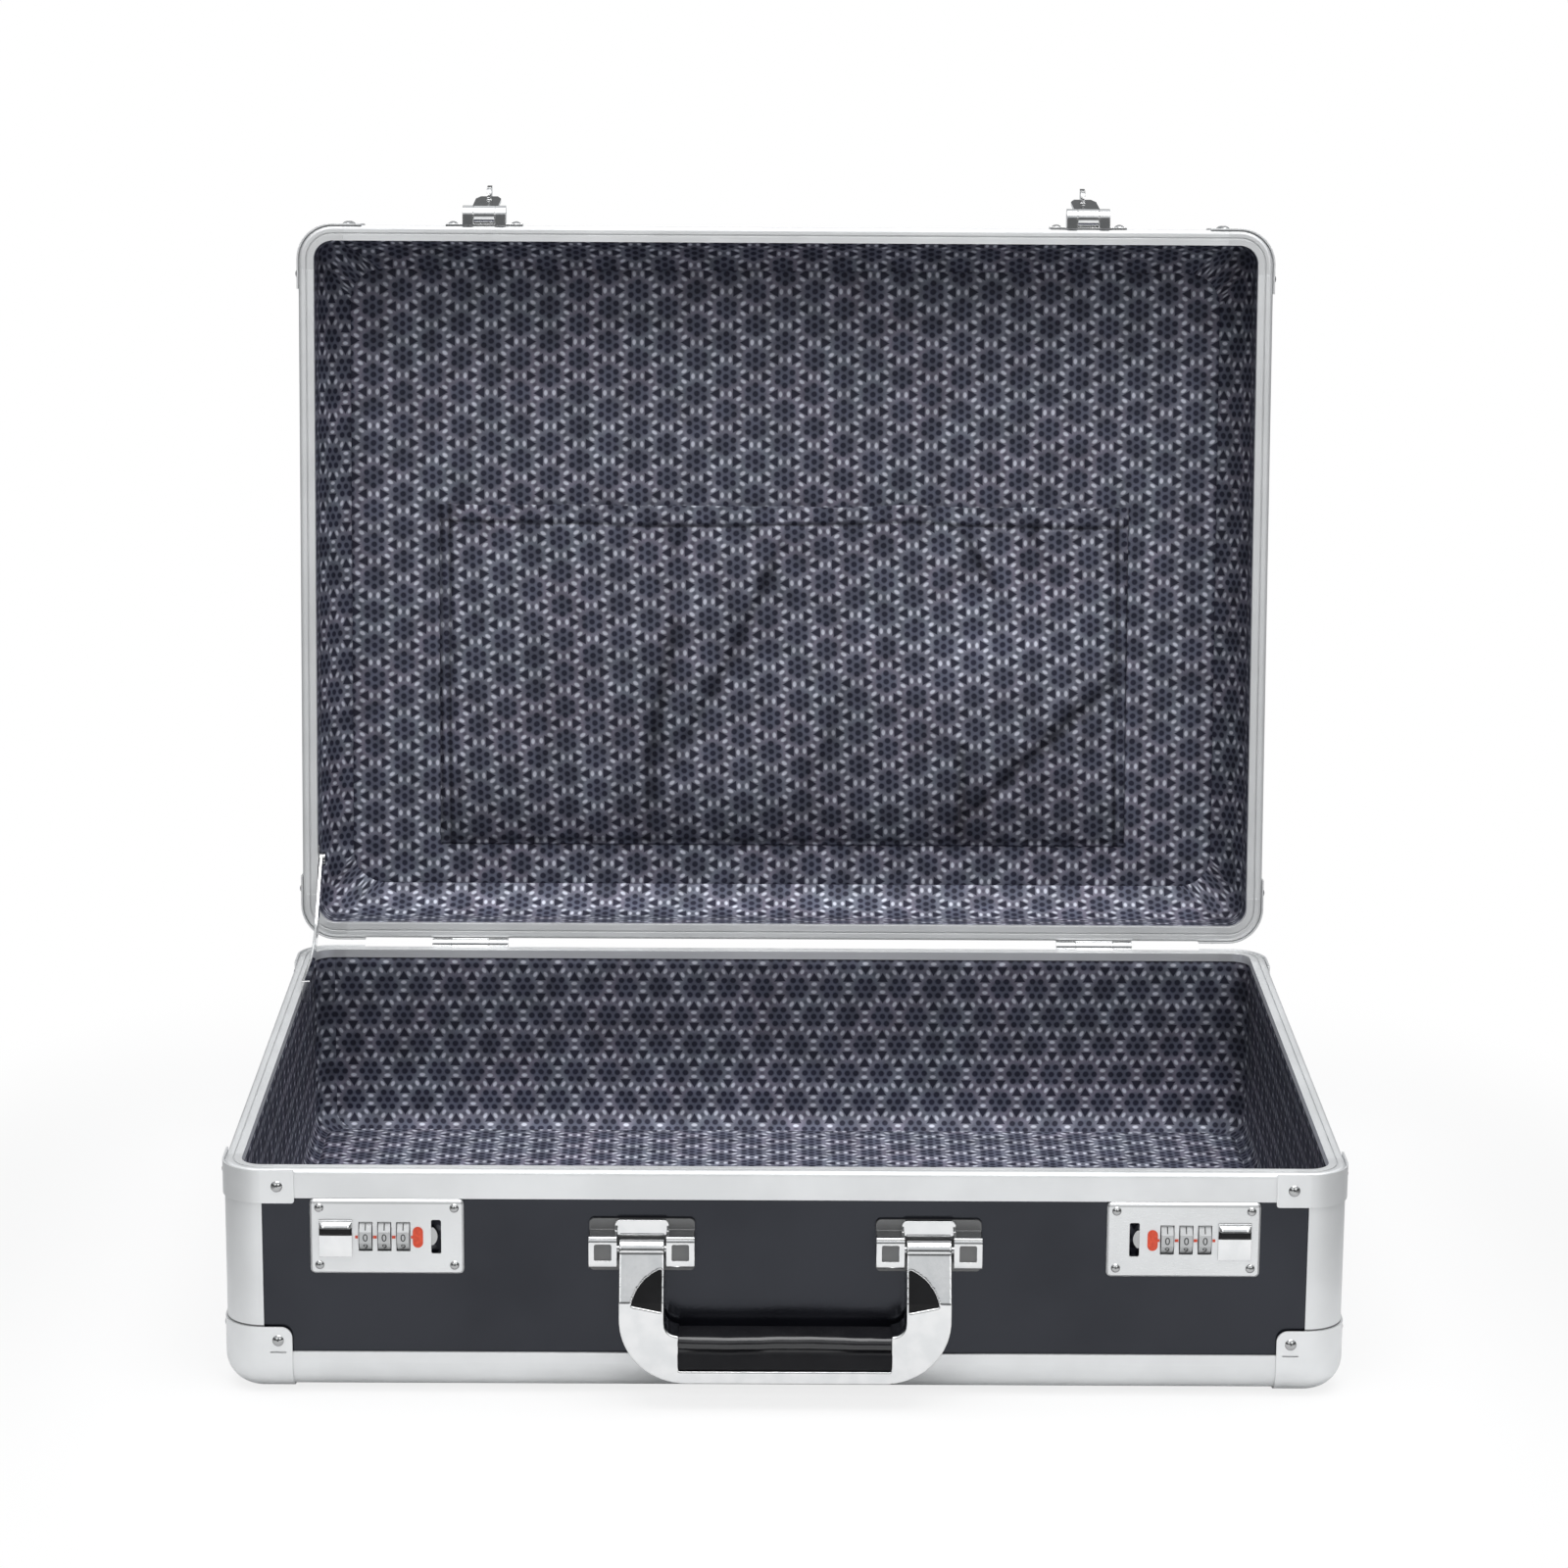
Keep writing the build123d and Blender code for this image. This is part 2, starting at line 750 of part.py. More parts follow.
for shell, own, other in (("base", end_knuckles, middle_knuckle), ("lid", middle_knuckle, end_knuckles)):
    frame, height, front = shells[shell]
    rear_wall = wall_at(-front)
    with BuildPart() as leaves:
        with BuildSketch(*spots_on([rear_wall], [-hinge_x, hinge_x], hinge_leaf_height / 2)):
            Rectangle(hinge_width, hinge_leaf_height)
        extrude(amount=hinge_leaf_sheet)
        with BuildSketch(*knuckle_planes(front, own["x"])):
            Circle(hinge_knuckle_radius)
        extrude(amount=own["width"] / 2, both=True)
        with BuildSketch(*knuckle_planes(front, other["x"])):
            Circle(hinge_knuckle_radius + hinge_side_gap)
        extrude(amount=other["width"] / 2 + hinge_side_gap, both=True, mode=Mode.SUBTRACT)
        with BuildSketch(*knuckle_planes(front, [0])):
            Circle(hinge_pin_radius + running_clearance)
        extrude(amount=hinge_width, both=True, mode=Mode.SUBTRACT)
        with BuildSketch(*spots_on([rear_wall], hinge_spots, hinge_rivet_depth)):
            Circle(rivet_hole)
        extrude(amount=2 * hinge_leaf_sheet, both=True, mode=Mode.SUBTRACT)
    keep_in(frame, leaves, f"hinge_{shell}_leaves")

with BuildPart() as hinge_pins:
    for middle in (-hinge_x, hinge_x):
        with BuildSketch(Plane.YZ.offset(middle)):
            with Locations((hinge_y, hinge_z)):
                Circle(hinge_pin_radius)
        extrude(amount=hinge_width / 2, both=True)
keep(hinge_pins, "hinge_pins")

# Locks, drawn for the right side: x outwards, y up, z out of the plate's face
panel_level = -plate_depth
slide_top = -(plate_skin + slide_clearance)
slide_bottom = slide_top - slide_sheet
box_floor = panel_level - lock_box_depth
dial_centres = [dial_middle + (number - (dial_count - 1) / 2) * dial_pitch for number in range(dial_count)]
dial_axis = dial_stand_out - dial_radius
stem_slot_middle = button_x + button_travel / 2
stem_slot_width = stem_width + button_travel + 2 * stem_clearance
flange_width = plate_width - 2 * (plate_wall + lock_flange_margin)
flange_height = plate_height - 2 * (plate_wall + lock_flange_margin)


def keep_lock_pair(piece, node):
    """Sets a lock piece into the right lock and its mirror image into the left one."""
    with BuildPart() as right:
        add(piece.part.moved(lock_plane.location))
    keep(right, f"{node}_right")
    with BuildPart() as left:
        mirror(right.part, about=Plane.YZ)
    keep(left, f"{node}_left")


def keep_both(piece, node):
    """Sets a lock piece into the right lock, with its mirror image in the same node."""
    with BuildPart() as pair:
        add(piece.part.moved(lock_plane.location))
        mirror(about=Plane.YZ)
    keep(pair, node)


with BuildPart() as lock_plate:
    with BuildSketch(Plane.XY.offset(panel_level)):
        RectangleRounded(plate_width, plate_height, plate_round)
    extrude(amount=plate_depth)
    chamfer(lock_plate.edges().group_by(Axis.Z)[-1], plate_bevel)
    with BuildSketch(Plane.XY.offset(panel_level)):
        RectangleRounded(plate_width - 2 * plate_wall, plate_height - 2 * plate_wall, plate_round)
    extrude(amount=lock_flange_sheet, mode=Mode.SUBTRACT)
    with BuildSketch(Plane.XY.offset(panel_level + lock_flange_sheet)):
        RectangleRounded(plate_width - 2 * plate_wall, plate_height - 2 * plate_wall, plate_round)
        with GridLocations(2 * lock_rivet_x, 2 * lock_rivet_y, 2, 2):
            Circle(rivet_boss_radius, mode=Mode.SUBTRACT)
    extrude(amount=plate_depth - plate_skin - lock_flange_sheet, mode=Mode.SUBTRACT)
    with BuildSketch(Plane.XY.offset(panel_level)):
        with GridLocations(2 * lock_rivet_x, 2 * lock_rivet_y, 2, 2):
            Circle(small_hole)
        with Locations(*[(x, 0) for x in dial_centres]):
            Rectangle(window_width, window_height)
        with Locations((slot_x, 0)):
            RectangleRounded(slot_width, slot_height, plate_bevel)
        with Locations((stem_slot_middle, 0)):
            Rectangle(stem_slot_width, 2 * (stem_half_height + stem_clearance))
    extrude(amount=2 * plate_depth, mode=Mode.SUBTRACT)
keep_lock_pair(lock_plate, "lock_plate")

with BuildPart() as lock_case:
    with BuildSketch(Plane.XY.offset(panel_level)):
        RectangleRounded(flange_width, flange_height, plate_round)
    extrude(amount=lock_flange_sheet)
    with BuildSketch(Plane.XY.offset(box_floor - lock_box_sheet)):
        with Locations((box_middle, 0)):
            Rectangle(box_width, box_height)
    extrude(amount=lock_box_depth + lock_box_sheet)
    with BuildSketch(Plane.XY.offset(box_floor)):
        with Locations((box_middle, 0)):
            Rectangle(box_width - 2 * lock_box_sheet, box_height - 2 * lock_box_sheet)
    extrude(amount=lock_box_depth + plate_depth, mode=Mode.SUBTRACT)
    for post_x in (
        dial_centres[0] - dial_width / 2 - axle_post_gap - axle_post_sheet / 2,
        dial_centres[-1] + dial_width / 2 + axle_post_gap + axle_post_sheet / 2,
    ):
        with BuildSketch(Plane.XY.offset(box_floor)):
            with Locations((post_x, 0)):
                Rectangle(axle_post_sheet, 2 * axle_post_half_height)
        extrude(amount=dial_axis + axle_post_top - box_floor)
    with BuildSketch(Plane.YZ.offset(dial_centres[0] - dial_width)):
        with Locations((0, dial_axis)):
            Circle(axle_radius + running_clearance / 2)
    extrude(amount=dial_centres[-1] - dial_centres[0] + 2 * dial_width, mode=Mode.SUBTRACT)
    with BuildSketch(Plane.XY.offset(panel_level)):
        with GridLocations(2 * lock_rivet_x, 2 * lock_rivet_y, 2, 2):
            Circle(small_hole)
    extrude(amount=lock_flange_sheet, mode=Mode.SUBTRACT)
keep_lock_pair(lock_case, "lock_case")

# Dials on their axle: each is a drum with a flat for every number
axle_half = (dial_count * dial_pitch + axle_post_sheet) / 2
with BuildPart() as dial_axle:
    with BuildSketch(Plane.YZ.offset(dial_middle)):
        with Locations((0, dial_axis)):
            Circle(axle_radius)
    extrude(amount=axle_half, both=True)
keep_both(dial_axle, "dial_axles")

for number, centre in enumerate(dial_centres, 1):
    with BuildPart() as dial:
        with BuildSketch(Plane.YZ.offset(centre)):
            with Locations((0, dial_axis)):
                RegularPolygon(dial_radius, dial_flats)
                Circle(axle_radius + running_clearance, mode=Mode.SUBTRACT)
        extrude(amount=dial_width / 2, both=True)
    keep_lock_pair(dial, f"dial_{number}")

# Latch slide, with its tongue towards the hasp and a bent tab for the return spring
with BuildPart() as latch_slide:
    with BuildSketch(Plane.XY.offset(slide_bottom)):
        with Locations(((slide_inner + slide_outer) / 2, 0)):
            Rectangle(slide_outer - slide_inner, 2 * slide_half_height)
        with Locations(((slide_window_inner + slide_window_outer) / 2, 0)):
            Rectangle(
                slide_window_outer - slide_window_inner, 2 * slide_window_half_height, mode=Mode.SUBTRACT
            )
        with BuildLine():
            Polyline(
                (slide_inner, tongue_half_height),
                (slide_inner - tongue_reach / 2, tongue_half_height),
            )
            ThreePointArc(
                (slide_inner - tongue_reach / 2, tongue_half_height),
                (slide_inner - tongue_reach, 0),
                (slide_inner - tongue_reach / 2, -tongue_half_height),
            )
            Polyline(
                (slide_inner - tongue_reach / 2, -tongue_half_height),
                (slide_inner, -tongue_half_height),
                (slide_inner, tongue_half_height),
            )
        make_face()
    extrude(amount=slide_sheet)
    with BuildSketch(Plane.XY.offset(slide_bottom - tab_depth)):
        with Locations((tab_outer - tab_sheet / 2, 0)):
            Rectangle(tab_sheet, 2 * tab_half_height)
    extrude(amount=tab_depth)
keep_lock_pair(latch_slide, "latch_slide")

# Return spring between the tab and the outer wall of the lock case
spring_length = lock_box_outer - tab_outer - 2 * spring_wire
spring_start = (tab_outer + spring_wire, 0, slide_bottom - spring_drop)
with BuildPart() as button_spring:
    with BuildLine():
        coil = Helix(spring_length / spring_turns, spring_length, spring_radius, spring_start, (1, 0, 0))
    with BuildSketch(Plane(origin=coil @ 0, z_dir=coil % 0)):
        Circle(spring_wire)
    sweep(is_frenet=True)
keep_lock_pair(button_spring, "button_spring")

# Opening button: a plate with a thumb ridge, and a stem through the lock plate to the slide
with BuildPart() as slide_button:
    with BuildSketch(Plane.YZ.offset(button_x - button_width / 2)):
        with BuildLine():
            Polyline(
                (button_low, button_gap),
                (button_low, button_sheet),
                (button_ridge_low, button_sheet + button_gap),
                (button_ridge_low + button_ridge_foot, button_ridge_stand),
                (button_high - 2 * button_ridge_foot, button_ridge_stand),
                (button_high - button_ridge_foot / 2, button_sheet + button_gap),
                (button_high, button_sheet),
                (button_high, button_gap),
                (button_low, button_gap),
            )
        make_face()
    extrude(amount=button_width)
    with BuildSketch(Plane.XY.offset(slide_top)):
        with Locations((button_x, 0)):
            Rectangle(stem_width, 2 * stem_half_height)
    extrude(amount=button_gap - slide_top)
keep_lock_pair(slide_button, "slide_button")

# Red reading marks on the plate: an oval at the hasp's side, and a line that the windows interrupt
line_end = dial_centres[-1] + window_width / 2 + mark_overrun
with BuildPart() as reading_marks:
    with BuildSketch():
        with Locations((oval_x, mark_line_y)):
            SlotOverall(oval_height, oval_width, rotation=90)
        with Locations(((oval_x + line_end) / 2, mark_line_y)):
            Rectangle(line_end - oval_x, mark_line_height)
        with Locations(*[(x, 0) for x in dial_centres]):
            Rectangle(window_width + 2 * mark_sheet, window_height, mode=Mode.SUBTRACT)
    extrude(amount=mark_sheet)
keep_both(reading_marks, "reading_marks")

# Hasps, drawn closed in the lid's shell coordinates and then swung open
hasp_axis_y = -(case_depth / 2 + hasp_barrel_gap + hasp_barrel_radius)
outer_knuckle_width = (hasp_barrel_width - hasp_middle_width) / 2 - hasp_side_gap
outer_knuckle_x = (hasp_barrel_width - outer_knuckle_width) / 2
lid_front = [wall_at(-1)]
hasp_middles = [-hasp_x, hasp_x]


def hasp_sections(offset):
    """Planes across the hasps' axis, at one place along each: x to the rear, y into the lid."""
    return [
        Plane(origin=(middle + offset, hasp_axis_y, hasp_axis_depth), x_dir=(0, 1, 0), z_dir=(1, 0, 0))
        for middle in hasp_middles
    ]


leaf_back = hasp_barrel_gap + hasp_barrel_radius
with BuildPart() as hasp_leaves:
    with BuildSketch(*spots_on(lid_front, hasp_middles, (hasp_leaf_low + hasp_leaf_high) / 2)):
        Rectangle(hasp_leaf_width, hasp_leaf_high - hasp_leaf_low)
    extrude(amount=hasp_leaf_sheet)
    for offset in (-outer_knuckle_x, outer_knuckle_x):
        with BuildSketch(*hasp_sections(offset)):
            Circle(hasp_barrel_radius)
            Rectangle(leaf_back, 2 * hasp_barrel_radius, align=(Align.MIN, Align.CENTER))
        extrude(amount=outer_knuckle_width / 2, both=True)
    with BuildSketch(*hasp_sections(0)):
        Circle(hasp_barrel_radius + hasp_barrel_gap)
    extrude(amount=hasp_middle_width / 2 + hasp_side_gap, both=True, mode=Mode.SUBTRACT)
    with BuildSketch(*hasp_sections(0)):
        Circle(hasp_pin_radius + running_clearance / 2)
    extrude(amount=hasp_barrel_width, both=True, mode=Mode.SUBTRACT)
    with BuildSketch(*spots_on(lid_front, hasp_spots, hasp_rivet_depth)):
        Circle(rivet_hole)
    extrude(amount=2 * hasp_leaf_sheet, both=True, mode=Mode.SUBTRACT)
keep_in(lid_frame, hasp_leaves, "hasp_leaves")

with BuildPart() as hasp_pins:
    with BuildSketch(*hasp_sections(0)):
        Circle(hasp_pin_radius)
    extrude(amount=hasp_barrel_width / 2, both=True)
keep_in(lid_frame, hasp_pins, "hasp_pins")

with BuildPart() as hasp_springs:
    with BuildSketch(*hasp_sections(0)):
        Circle(hasp_spring_radius)
        Circle(hasp_pin_radius + hook_clearance, mode=Mode.SUBTRACT)
    extrude(amount=hasp_spring_length / 2, both=True)
keep_in(lid_frame, hasp_springs, "hasp_springs")

# The flap hangs from the middle knuckle; its hook has a notch for the latch slide's tongue
flap_inner = leaf_back - hasp_flap_gap
flap_reach = lock_drop + parting_gap + hasp_axis_depth
neck_reach = hasp_barrel_radius + 2 * hasp_barrel_gap
plate_front = leaf_back - (plate_depth - panel_face)
hook_side = -(slot_width / 2 - hook_clearance)
notch_start = plate_front - slide_top - hook_clearance
notch_end = plate_front - slide_bottom + hook_clearance
flap_tip = flap_reach + hasp_flap_overhang
with BuildPart() as hasp_flap:
    with BuildSketch(Plane.YZ):
        Circle(hasp_barrel_radius)
    extrude(amount=hasp_middle_width / 2, both=True)
    with BuildSketch(Plane(origin=(0, flap_inner, 0), x_dir=(1, 0, 0), z_dir=(0, -1, 0))):
        Rectangle(hasp_middle_width, flap_reach, align=(Align.CENTER, Align.MAX))
        with BuildLine():
            Polyline(
                (-hasp_flap_width / 2, -neck_reach),
                (hasp_flap_width / 2, -neck_reach),
                (hasp_flap_width / 2, -flap_reach),
                (hasp_tip_width / 2, -flap_tip),
                (-hasp_tip_width / 2, -flap_tip),
                (-hasp_flap_width / 2, -flap_reach),
                close=True,
            )
        make_face()
    extrude(amount=hasp_flap_sheet)
    with BuildSketch(Plane(origin=(0, 0, -flap_reach), x_dir=(1, 0, 0), z_dir=(0, 0, 1))):
        with Locations((hook_side, flap_inner)):
            Rectangle(hook_width, notch_end + hook_head - flap_inner, align=(Align.MIN, Align.MIN))
        with Locations((hook_side + hook_neck, notch_start)):
            Rectangle(hook_width, notch_end - notch_start, align=(Align.MIN, Align.MIN), mode=Mode.SUBTRACT)
    extrude(amount=hook_height / 2, both=True)
    with BuildSketch(Plane.YZ):
        Circle(hasp_spring_bore)
    extrude(amount=hasp_middle_width / 2 - hasp_end_wall, both=True, mode=Mode.SUBTRACT)
    with BuildSketch(Plane.YZ):
        Circle(hasp_pin_radius + running_clearance)
    extrude(amount=hasp_middle_width, both=True, mode=Mode.SUBTRACT)

swung = Plane(origin=(hasp_x, hasp_axis_y, hasp_axis_depth)).rotated((-hasp_open_angle, 0, 0))
with BuildPart() as hasp_flap_right:
    add(hasp_flap.part.moved(swung.location).moved(lid_frame.location))
keep(hasp_flap_right, "hasp_flap_right")
with BuildPart() as hasp_flap_left:
    mirror(hasp_flap_right.part, about=Plane.YZ)
keep(hasp_flap_left, "hasp_flap_left")

# Handle mounts on the front panel: plate, hood and two lugs each, x to the right, y up
lug_width = mount_width / 2 - lug_inner
mount_places = [(side * mount_x, 0) for side in (-1, 1)]
lug_middles = [side * mount_x + end * (lug_inner + lug_width / 2) for side in (-1, 1) for end in (-1, 1)]
with BuildPart() as handle_mounts:
    for low, high, width, stand in (
        (mount_low, mount_high, mount_width, mount_sheet),
        (hood_low, mount_high, hood_width, hood_stand),
    ):
        with BuildSketch():
            with Locations(*mount_places):
                with Locations((0, (low + high) / 2)):
                    RectangleRounded(width, high - low, mount_round)
        extrude(amount=stand)
    for middle in lug_middles:
        with BuildSketch(Plane(origin=(middle, 0, 0), x_dir=(0, 1, 0), z_dir=(1, 0, 0))):
            with Locations(((lug_low + lug_high) / 2, lug_stand / 2)):
                Rectangle(lug_high - lug_low, lug_stand)
            fillet(vertices().group_by(Axis.Y)[-1], lug_round)
        extrude(amount=lug_width / 2, both=True)
    with BuildSketch(Plane.XY.offset(lug_stand)):
        with Locations(*[(middle, handle_pivot_z) for middle in lug_middles]):
            RectangleRounded(lug_pocket, lug_pocket, handle_bevel)
    extrude(amount=-lug_pocket_depth, mode=Mode.SUBTRACT)
    with BuildSketch(Plane(origin=(-case_width / 2, 0, 0), x_dir=(0, 1, 0), z_dir=(1, 0, 0))):
        with Locations((handle_pivot_z, handle_pivot_stand)):
            Circle(handle_pin_radius + running_clearance / 2)
    extrude(amount=case_width, mode=Mode.SUBTRACT)
    with BuildSketch():
        with Locations(*[(x, y) for x in mount_rivet_run for y in mount_rivet_levels]):
            Circle(small_hole)
    extrude(amount=mount_sheet / 2 + rivet_clearance, mode=Mode.SUBTRACT)
keep_in(front_plane, handle_mounts, "handle_mounts")

with BuildPart() as handle_pins:
    for side in (-1, 1):
        with BuildSketch(Plane(origin=(side * mount_x, 0, 0), x_dir=(0, 1, 0), z_dir=(1, 0, 0))):
            with Locations((handle_pivot_z, handle_pivot_stand)):
                Circle(handle_pin_radius)
        extrude(amount=mount_width / 2, both=True)
keep_in(front_plane, handle_pins, "handle_pins")

# Handle: its outline seen from the front, kept where its side profile is
arm_outer = mount_x + arm_half_width
arm_inner = mount_x - arm_half_width
handle_side = Plane(origin=(0, 0, 0), x_dir=(0, 1, 0), z_dir=(1, 0, 0))


def scallop():
    """The fin-shaped inlay beside a thin strip of each arm's inner edge."""
    with BuildSketch() as fin:
        for side in (-1, 1):
            inner = side * (arm_inner + scallop_strip)
            tip = side * (arm_inner + scallop_reach)
            with BuildLine():
                Line((inner, scallop_low), (inner, scallop_high))
                ThreePointArc(
                    (inner, scallop_high),
                    (
                        (inner + tip) / 2 + side * scallop_bulge,
                        (scallop_high + scallop_mid_z) / 2 + scallop_bulge,
                    ),
                    (tip, scallop_mid_z),
                )
                Line((tip, scallop_mid_z), (inner, scallop_low))
            make_face()
    return fin.sketch


def side_profile(inset):
    """The handle's depth at each height, seen from its end."""
    with BuildSketch() as profile:
        with BuildLine():
            Polyline(
                (handle_low, handle_back + inset),
                (handle_low, handle_front - inset),
                (arm_shoulder_z, handle_front - inset),
                (handle_pivot_z, arm_front_top - inset),
                (handle_pivot_z, handle_back + inset),
                close=True,
            )
        make_face()
    return profile.sketch


with BuildPart() as handle_frame:
    with BuildSketch():
        with BuildLine():
            Polyline(
                (arm_outer, handle_low + handle_corner),
                (arm_outer, handle_pivot_z),
                (arm_inner, handle_pivot_z),
                (arm_inner, grip_high + seat_corner),
            )
            RadiusArc((arm_inner, grip_high + seat_corner), (grip_half_length, grip_high), seat_corner)
            Polyline(
                (grip_half_length, grip_high),
                (grip_half_length, grip_low),
                (0, grip_low),
                (0, handle_low),
            )
            Line((0, handle_low), (arm_outer - handle_corner, handle_low))
            RadiusArc(
                (arm_outer - handle_corner, handle_low),
                (arm_outer, handle_low + handle_corner),
                -handle_corner,
            )
        make_face()
        mirror(about=Plane.YZ)
    extrude(amount=handle_front)
    add(scallop())
    extrude(amount=handle_front, mode=Mode.SUBTRACT)
    with BuildSketch(handle_side):
        add(side_profile(0))
    extrude(amount=case_width, both=True, mode=Mode.INTERSECT)
    for side in (-1, 1):
        with BuildSketch(handle_side.offset(side * mount_x)):
            with Locations((handle_pivot_z, handle_pivot_stand)):
                Circle(handle_barrel_radius)
        extrude(amount=arm_half_width, both=True)
    with BuildSketch(handle_side):
        with Locations((handle_pivot_z, handle_pivot_stand)):
            Circle(handle_pin_radius + running_clearance)
    extrude(amount=case_width, both=True, mode=Mode.SUBTRACT)
keep_in(front_plane, handle_frame, "handle_frame")

with BuildPart() as handle_inserts:
    add(scallop())
    extrude(amount=handle_front)
    with BuildSketch(handle_side):
        add(side_profile(insert_recess))
    extrude(amount=case_width, both=True, mode=Mode.INTERSECT)
keep_in(front_plane, handle_inserts, "handle_inserts")

with BuildPart() as handle_grip:
    with BuildSketch(handle_side):
        with Locations(((grip_low + grip_high) / 2, (grip_back + handle_front) / 2)):
            RectangleRounded(grip_high - grip_low, handle_front - grip_back + 2 * insert_recess, grip_round)
    extrude(amount=grip_half_length, both=True)
keep_in(front_plane, handle_grip, "handle_grip")

# Lid pocket: a fabric panel sewn to the lid's lining along its sides and bottom
pocket_back = lid_shell - lining_inner
pocket_y = case_depth / 2 - (pocket_low + pocket_high) / 2
pocket_length = pocket_high - pocket_low
with BuildPart() as lid_pocket:
    with BuildSketch(Plane.XY.offset(pocket_back)):
        with Locations((0, pocket_y)):
            Rectangle(2 * pocket_half_width, pocket_length)
    extrude(amount=-(pocket_sheet + pocket_space))
    with BuildSketch(Plane.XY.offset(pocket_back)):
        with Locations((0, pocket_y - pocket_seam)):
            Rectangle(2 * (pocket_half_width - pocket_seam), pocket_length)
    extrude(amount=-pocket_space, mode=Mode.SUBTRACT)
keep_in(lid_frame, lid_pocket, "lid_pocket")

# Lid stay: a bracket on the lid's left wall, and a curved arm that folds into the case
stay_bracket_x = -case_width / 2 + lining_inner
stay_x = stay_bracket_x + stay_bracket_sheet + stay_gap
stay_pivot_y = case_depth / 2 + hinge_offset - stay_pivot_run
stay_pivot_place = lid_frame.from_local_coords(
    Vector(0, stay_pivot_y, stay_pivot_depth - parting_gap / 2)
)
with BuildPart() as stay_bracket:
    with BuildSketch(Plane.YZ.offset(stay_bracket_x)):
        with Locations((stay_pivot_y, stay_pivot_depth - parting_gap / 2)):
            RectangleRounded(stay_bracket_length, stay_bracket_width, stay_pivot_radius)
    extrude(amount=stay_bracket_sheet)
    with BuildSketch(Plane.YZ.offset(stay_bracket_x)):
        with Locations((stay_pivot_y, stay_pivot_depth - parting_gap / 2)):
            Circle(stay_pivot_radius)
    extrude(amount=stay_x + stay_sheet + stay_gap - stay_bracket_x)
    with BuildSketch(Plane.YZ.offset(stay_x + stay_sheet + stay_gap)):
        with Locations((stay_pivot_y, stay_pivot_depth - parting_gap / 2)):
            Circle(stay_head_radius)
    extrude(amount=stay_head_sheet)
keep_in(lid_frame, stay_bracket, "stay_bracket")

stay_level = parting_height + stay_rise
stay_line_ends = (stay_pivot_place.Y, stay_pivot_place.Z)
with BuildPart() as stay_arm:
    with BuildSketch(Plane.YZ.offset(stay_x)):
        with BuildLine():
            FilletPolyline(
                stay_line_ends, (stay_knee_y, stay_level), (stay_end_y, stay_level), radius=stay_bend_radius
            )
        trace(line_width=stay_width)
        with Locations(stay_line_ends):
            Circle(stay_width / 2)
    extrude(amount=stay_sheet)
    with BuildSketch(Plane.YZ.offset(stay_x)):
        with Locations((stay_end_y, stay_level + stay_width / 2)):
            Rectangle(stay_sheet, stay_foot_length, align=(Align.CENTER, Align.MAX))
    extrude(amount=stay_sheet + stay_foot_reach)
    with BuildSketch(Plane.YZ.offset(stay_x)):
        with Locations(stay_line_ends):
            Circle(stay_pivot_radius + running_clearance)
    extrude(amount=stay_sheet, mode=Mode.SUBTRACT)
keep(stay_arm, "stay_arm")
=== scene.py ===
from math import cos, exp, hypot, pi, radians, sin, sqrt

import bmesh
import bpy
from mathutils import Matrix, Vector, noise


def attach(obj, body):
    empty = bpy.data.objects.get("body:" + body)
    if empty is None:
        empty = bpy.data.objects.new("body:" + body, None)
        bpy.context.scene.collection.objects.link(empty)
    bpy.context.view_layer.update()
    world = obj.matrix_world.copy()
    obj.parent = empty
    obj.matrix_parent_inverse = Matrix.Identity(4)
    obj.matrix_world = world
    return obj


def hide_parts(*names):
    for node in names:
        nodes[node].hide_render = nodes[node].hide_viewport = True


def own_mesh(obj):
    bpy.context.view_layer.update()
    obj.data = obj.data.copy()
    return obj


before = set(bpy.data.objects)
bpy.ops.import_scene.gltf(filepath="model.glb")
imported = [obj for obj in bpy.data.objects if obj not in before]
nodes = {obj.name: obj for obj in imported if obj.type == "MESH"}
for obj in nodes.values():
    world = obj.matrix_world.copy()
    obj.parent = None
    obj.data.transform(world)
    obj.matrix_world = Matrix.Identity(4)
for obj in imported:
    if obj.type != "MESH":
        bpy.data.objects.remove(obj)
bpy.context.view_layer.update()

# Sizes of the case that the looks follow, in millimetres
mm = 0.001
half_width = 229.0
half_depth = 169.0
origin_shift = 36.0
parting_height = 96.0
hinge_offset = 2.6
parting_gap = 0.4
open_angle = radians(96.5)
lining_inset = 7.0
lining_corner = 9.0
lining_top = 4.15
lining_sheet = 1.15
floor_sheet = 0.9
pocket_sheet = 0.7
base_floor_depth = 88.2
lid_back_depth = 43.0

# Shell coordinates as in the part: x to the right, z from the parting plane into the shell
lid_forward = Vector((0, -cos(open_angle), sin(open_angle)))
lid_inward = Vector((0, sin(open_angle), cos(open_angle)))
hinge_axis = Vector((0, half_depth + hinge_offset - origin_shift, parting_height + parting_gap / 2))
lid_origin = hinge_axis + lid_forward * (half_depth + hinge_offset) + lid_inward * (parting_gap / 2)


def axes(x, y, z, origin):
    """A placing matrix from three directions and an origin in millimetres."""
    placed = Matrix((x, y, z)).transposed().to_4x4()
    placed.translation = origin * mm
    return placed


base_frame = axes((1, 0, 0), (0, -1, 0), (0, 0, -1), Vector((0, -origin_shift, parting_height)))
lid_frame = axes((1, 0, 0), -lid_forward, lid_inward, lid_origin)


